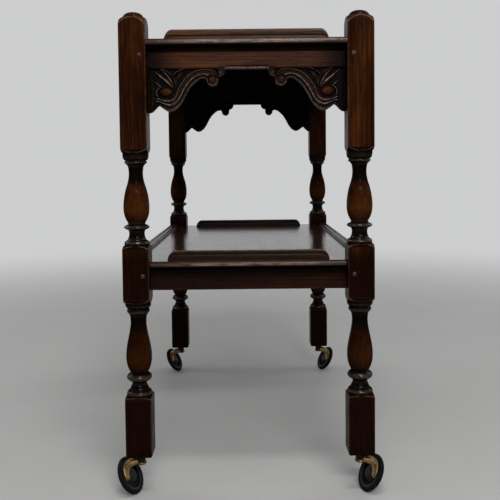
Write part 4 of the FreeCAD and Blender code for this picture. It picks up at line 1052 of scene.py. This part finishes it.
def fused(vertices, faces):
    """One casting from shapes that run into each other, with soft fillets where they meet."""
    mesh = new_mesh("rough_casting", [tuple(v * MM) for v in vertices], faces)
    rough = placed("rough_casting", mesh)
    voxels = rough.modifiers.new("voxels", "REMESH")
    voxels.mode, voxels.voxel_size = "VOXEL", CASTING_VOXEL * MM
    filed = rough.modifiers.new("filed", "SMOOTH")
    filed.factor, filed.iterations = 0.5, CASTING_ROUNDS
    shown = rough.evaluated_get(bpy.context.evaluated_depsgraph_get())
    cast = shown.to_mesh()
    points = [v.co / MM for v in cast.vertices]
    rows = [tuple(p.vertices) for p in cast.polygons]
    shown.to_mesh_clear()
    bpy.data.objects.remove(rough)
    bpy.data.meshes.remove(mesh)
    return points, rows


def whole_turn(segments):
    return np.linspace(0, 2 * math.pi, segments, endpoint=False)


def cast_hood(end, side):
    caster, sign = f"caster_{end}_{side}", SIDES[side]
    roll, swivel = JOINTS[f"{caster}_roll"], JOINTS[f"{caster}_swivel"]
    axle, hub, stem = Vector(roll["axis"]), Vector(roll["pos_m"]) / MM, Vector(swivel["pos_m"]) / MM
    lowest = Vector((0, 0, -1))
    lowest = (lowest - axle * lowest.dot(axle)).normalized()
    onward = axle.cross(lowest) * -sign
    tip = ARM_END - ARM_ROUND * (1 - np.sin(np.linspace(0, math.pi / 2, 10)))
    rings = np.concatenate([np.linspace(ARM_START, ARM_END - ARM_ROUND, 40), tip[1:]])
    vertices = [hub + lowest * a + onward * b + axle * c for a, b, c in arm_points(rings)]
    faces = loft_faces(0, len(rings), len(ARM_SECTION))
    # The neck leaves the top of the arm along the axle and turns into the collar.
    first = len(vertices)
    way = [tuple(hub - lowest * out + axle * along) for out, along, _, _ in NECK_STATIONS]
    way.append((stem.x + sign * NECK_END_REACH, stem.y, NECK_END_HEIGHT))
    centres = curve_through(way, NECK_STEPS)
    sizes = curve_through([row[2:] for row in NECK_STATIONS] + [NECK_END], NECK_STEPS)
    for centre, (wide, thick) in zip(centres, sizes):
        for turn in whole_turn(NECK_SEGMENTS):
            vertices.append(Vector(centre) + onward * wide * math.cos(turn) - lowest * thick * math.sin(turn))
    vertices, faces = fused(vertices, faces + loft_faces(first, len(centres), NECK_SEGMENTS))
    places = np.array(vertices) - np.array(hub)
    along = places @ np.array(axle)
    out = np.linalg.norm(places - np.outer(along, axle), axis=1)
    lip = RUBBED_LIP_WEAR * soft_step(along, *RUBBED_LIP_RISE) * hump(out, RUBBED_LIP, RUBBED_LIP_WIDTH)
    first = len(vertices)
    faces += loft_faces(first, len(COLLAR_PROFILE), COLLAR_SEGMENTS)
    patina = [0.0] * first
    for radius, height in COLLAR_PROFILE:
        for turn in whole_turn(COLLAR_SEGMENTS):
            x, y = stem.x + radius * math.cos(turn), stem.y + radius * math.sin(turn)
            vertices.append(Vector((x, y, height)))
            patina.append(height > COLLAR_BRIGHT)
    masks = {"patina": patina, "edge": np.r_[lip, np.zeros(len(vertices) - first)]}
    vertices = [tuple(v * MM) for v in vertices]
    new_piece(f"cast_hood_{end}_{side}", f"{caster}_hood", "cast_brass", vertices, faces, masks, HOOD_CREASE,
              f"swivel_{end}_{side}")


for end_name, side_name in product(ENDS, SIDES):
    cast_hood(end_name, side_name)


# Camera and studio. The camera's turn is its yaw, pitch and roll in degrees.
CAMERA_PLACE, CAMERA_TURN = (0.000652, -1.52512, 0.540035), (0.131, -2.858, -0.599)
SENSOR, LENS, LENS_SHIFT = 36.0, 51.477, -0.0961
FLOOR_RADIUS, FLOOR_SEGMENTS, FLOOR_FADE = 12, 96, (0.9, 3.4)
FLOOR_DARK, FLOOR_LIGHT = (0.36, 0.357, 0.352), (0.41, 0.407, 0.402)
BACKDROP, BACKDROP_COLOUR = (0.62, 0.36), (0.985, 0.99, 1.0)
LIGHT_ABOVE, LIGHT_BEHIND, LIGHT_AROUND = 0.60, 0.62, 0.05
# Each lamp's place, target, width and height, and power.
LAMPS = {
    "soft_key": ((0.30, -1.95, 1.34), (0, -0.3, 0.55), (1.2, 0.12), 24),
    "soft_top": ((0.12, -1.15, 2.3), (0, -0.2, 0.5), (0.9, 0.3), 16),
    "soft_side": ((-1.9, 0.5, 1.7), (0, 0, 0.5), (1.2, 1.2), 9),
    "soft_fill": ((1.9, 0.6, 1.7), (0, 0, 0.5), (1.2, 1.2), 9),
}


def make_camera():
    data = bpy.data.cameras.new("camera")
    data.sensor_fit, data.sensor_width, data.lens, data.shift_y = "HORIZONTAL", SENSOR, LENS, LENS_SHIFT
    camera = placed("camera", data)
    yaw, pitch, roll = (math.radians(v) for v in CAMERA_TURN)
    ahead = Vector((math.cos(pitch) * math.sin(yaw), math.cos(pitch) * math.cos(yaw), math.sin(pitch)))
    right = Vector((math.cos(yaw), -math.sin(yaw), 0))
    up = right.cross(ahead)
    across = math.cos(roll) * right + math.sin(roll) * up
    upright = -math.sin(roll) * right + math.cos(roll) * up
    turn = Matrix((across, upright, -ahead)).transposed().to_4x4()
    camera.matrix_world = Matrix.Translation(CAMERA_PLACE) @ turn
    bpy.context.scene.camera = camera


def make_floor():
    """A pale floor that fades into the backdrop away from the trolley."""
    angles = whole_turn(FLOOR_SEGMENTS)
    ring = [(FLOOR_RADIUS * math.cos(a), FLOOR_RADIUS * math.sin(a), 0) for a in angles]
    floor = placed("floor", new_mesh("floor", ring, [list(range(len(ring)))]))
    f = Finish("pale_floor")
    f.shade({"Base Color": f.mixed(f.noise(f.place, 5, 4, 0.6), FLOOR_DARK, FLOOR_LIGHT), "Roughness": 0.6,
             "Specular IOR Level": 0.2})
    away = f.put("VectorMath", {0: f.place}, operation="LENGTH")["Value"].remap(*FLOOR_FADE)
    clear = f.put("BsdfTransparent")["BSDF"]
    fade = f.put("MixShader", {0: away, 1: Wire(f, f.shader.outputs[0]), 2: clear})["Shader"]
    f.join(fade, f.tree.nodes["Material Output"].inputs["Surface"])
    floor.data.materials.append(f.material)


def make_world():
    """A pale backdrop, and soft light that comes from above and from the wall behind."""
    world = bpy.data.worlds.new("studio")
    bpy.context.scene.world = world
    world.use_nodes = True
    g = Graph(world.node_tree)
    facing = g.axes(g.put("TexCoord")["Generated"])
    above = facing["Z"].remap(0.25, 0.95, 0.0, LIGHT_ABOVE)
    behind = facing["Y"].remap(0.55, 0.85, 0.0, LIGHT_BEHIND)
    paths = g.put("LightPath")
    seen = paths["Is Camera Ray"].or_more(paths["Is Glossy Ray"]).or_more(paths["Is Transmission Ray"])
    light = g.blended(seen, above.or_more(behind) + LIGHT_AROUND, facing["Y"].remap(-0.1, -0.7, *BACKDROP))
    ground = g.tree.nodes["Background"].inputs
    g.join(light, ground["Strength"])
    g.join(BACKDROP_COLOUR, ground["Color"])


def make_lamp(name, place, target, size, power):
    data = bpy.data.lights.new(name, "AREA")
    data.shape, data.energy = "ELLIPSE", power
    data.size, data.size_y = size
    lamp = placed(name, data)
    lamp.location = place
    lamp.rotation_mode = "QUATERNION"
    lamp.rotation_quaternion = (Vector(target) - Vector(place)).to_track_quat("-Z", "Y")


make_camera()
make_floor()
make_world()
for lamp_name, lamp_row in LAMPS.items():
    make_lamp(lamp_name, *lamp_row)
bpy.context.scene.view_settings.view_transform = "Standard"
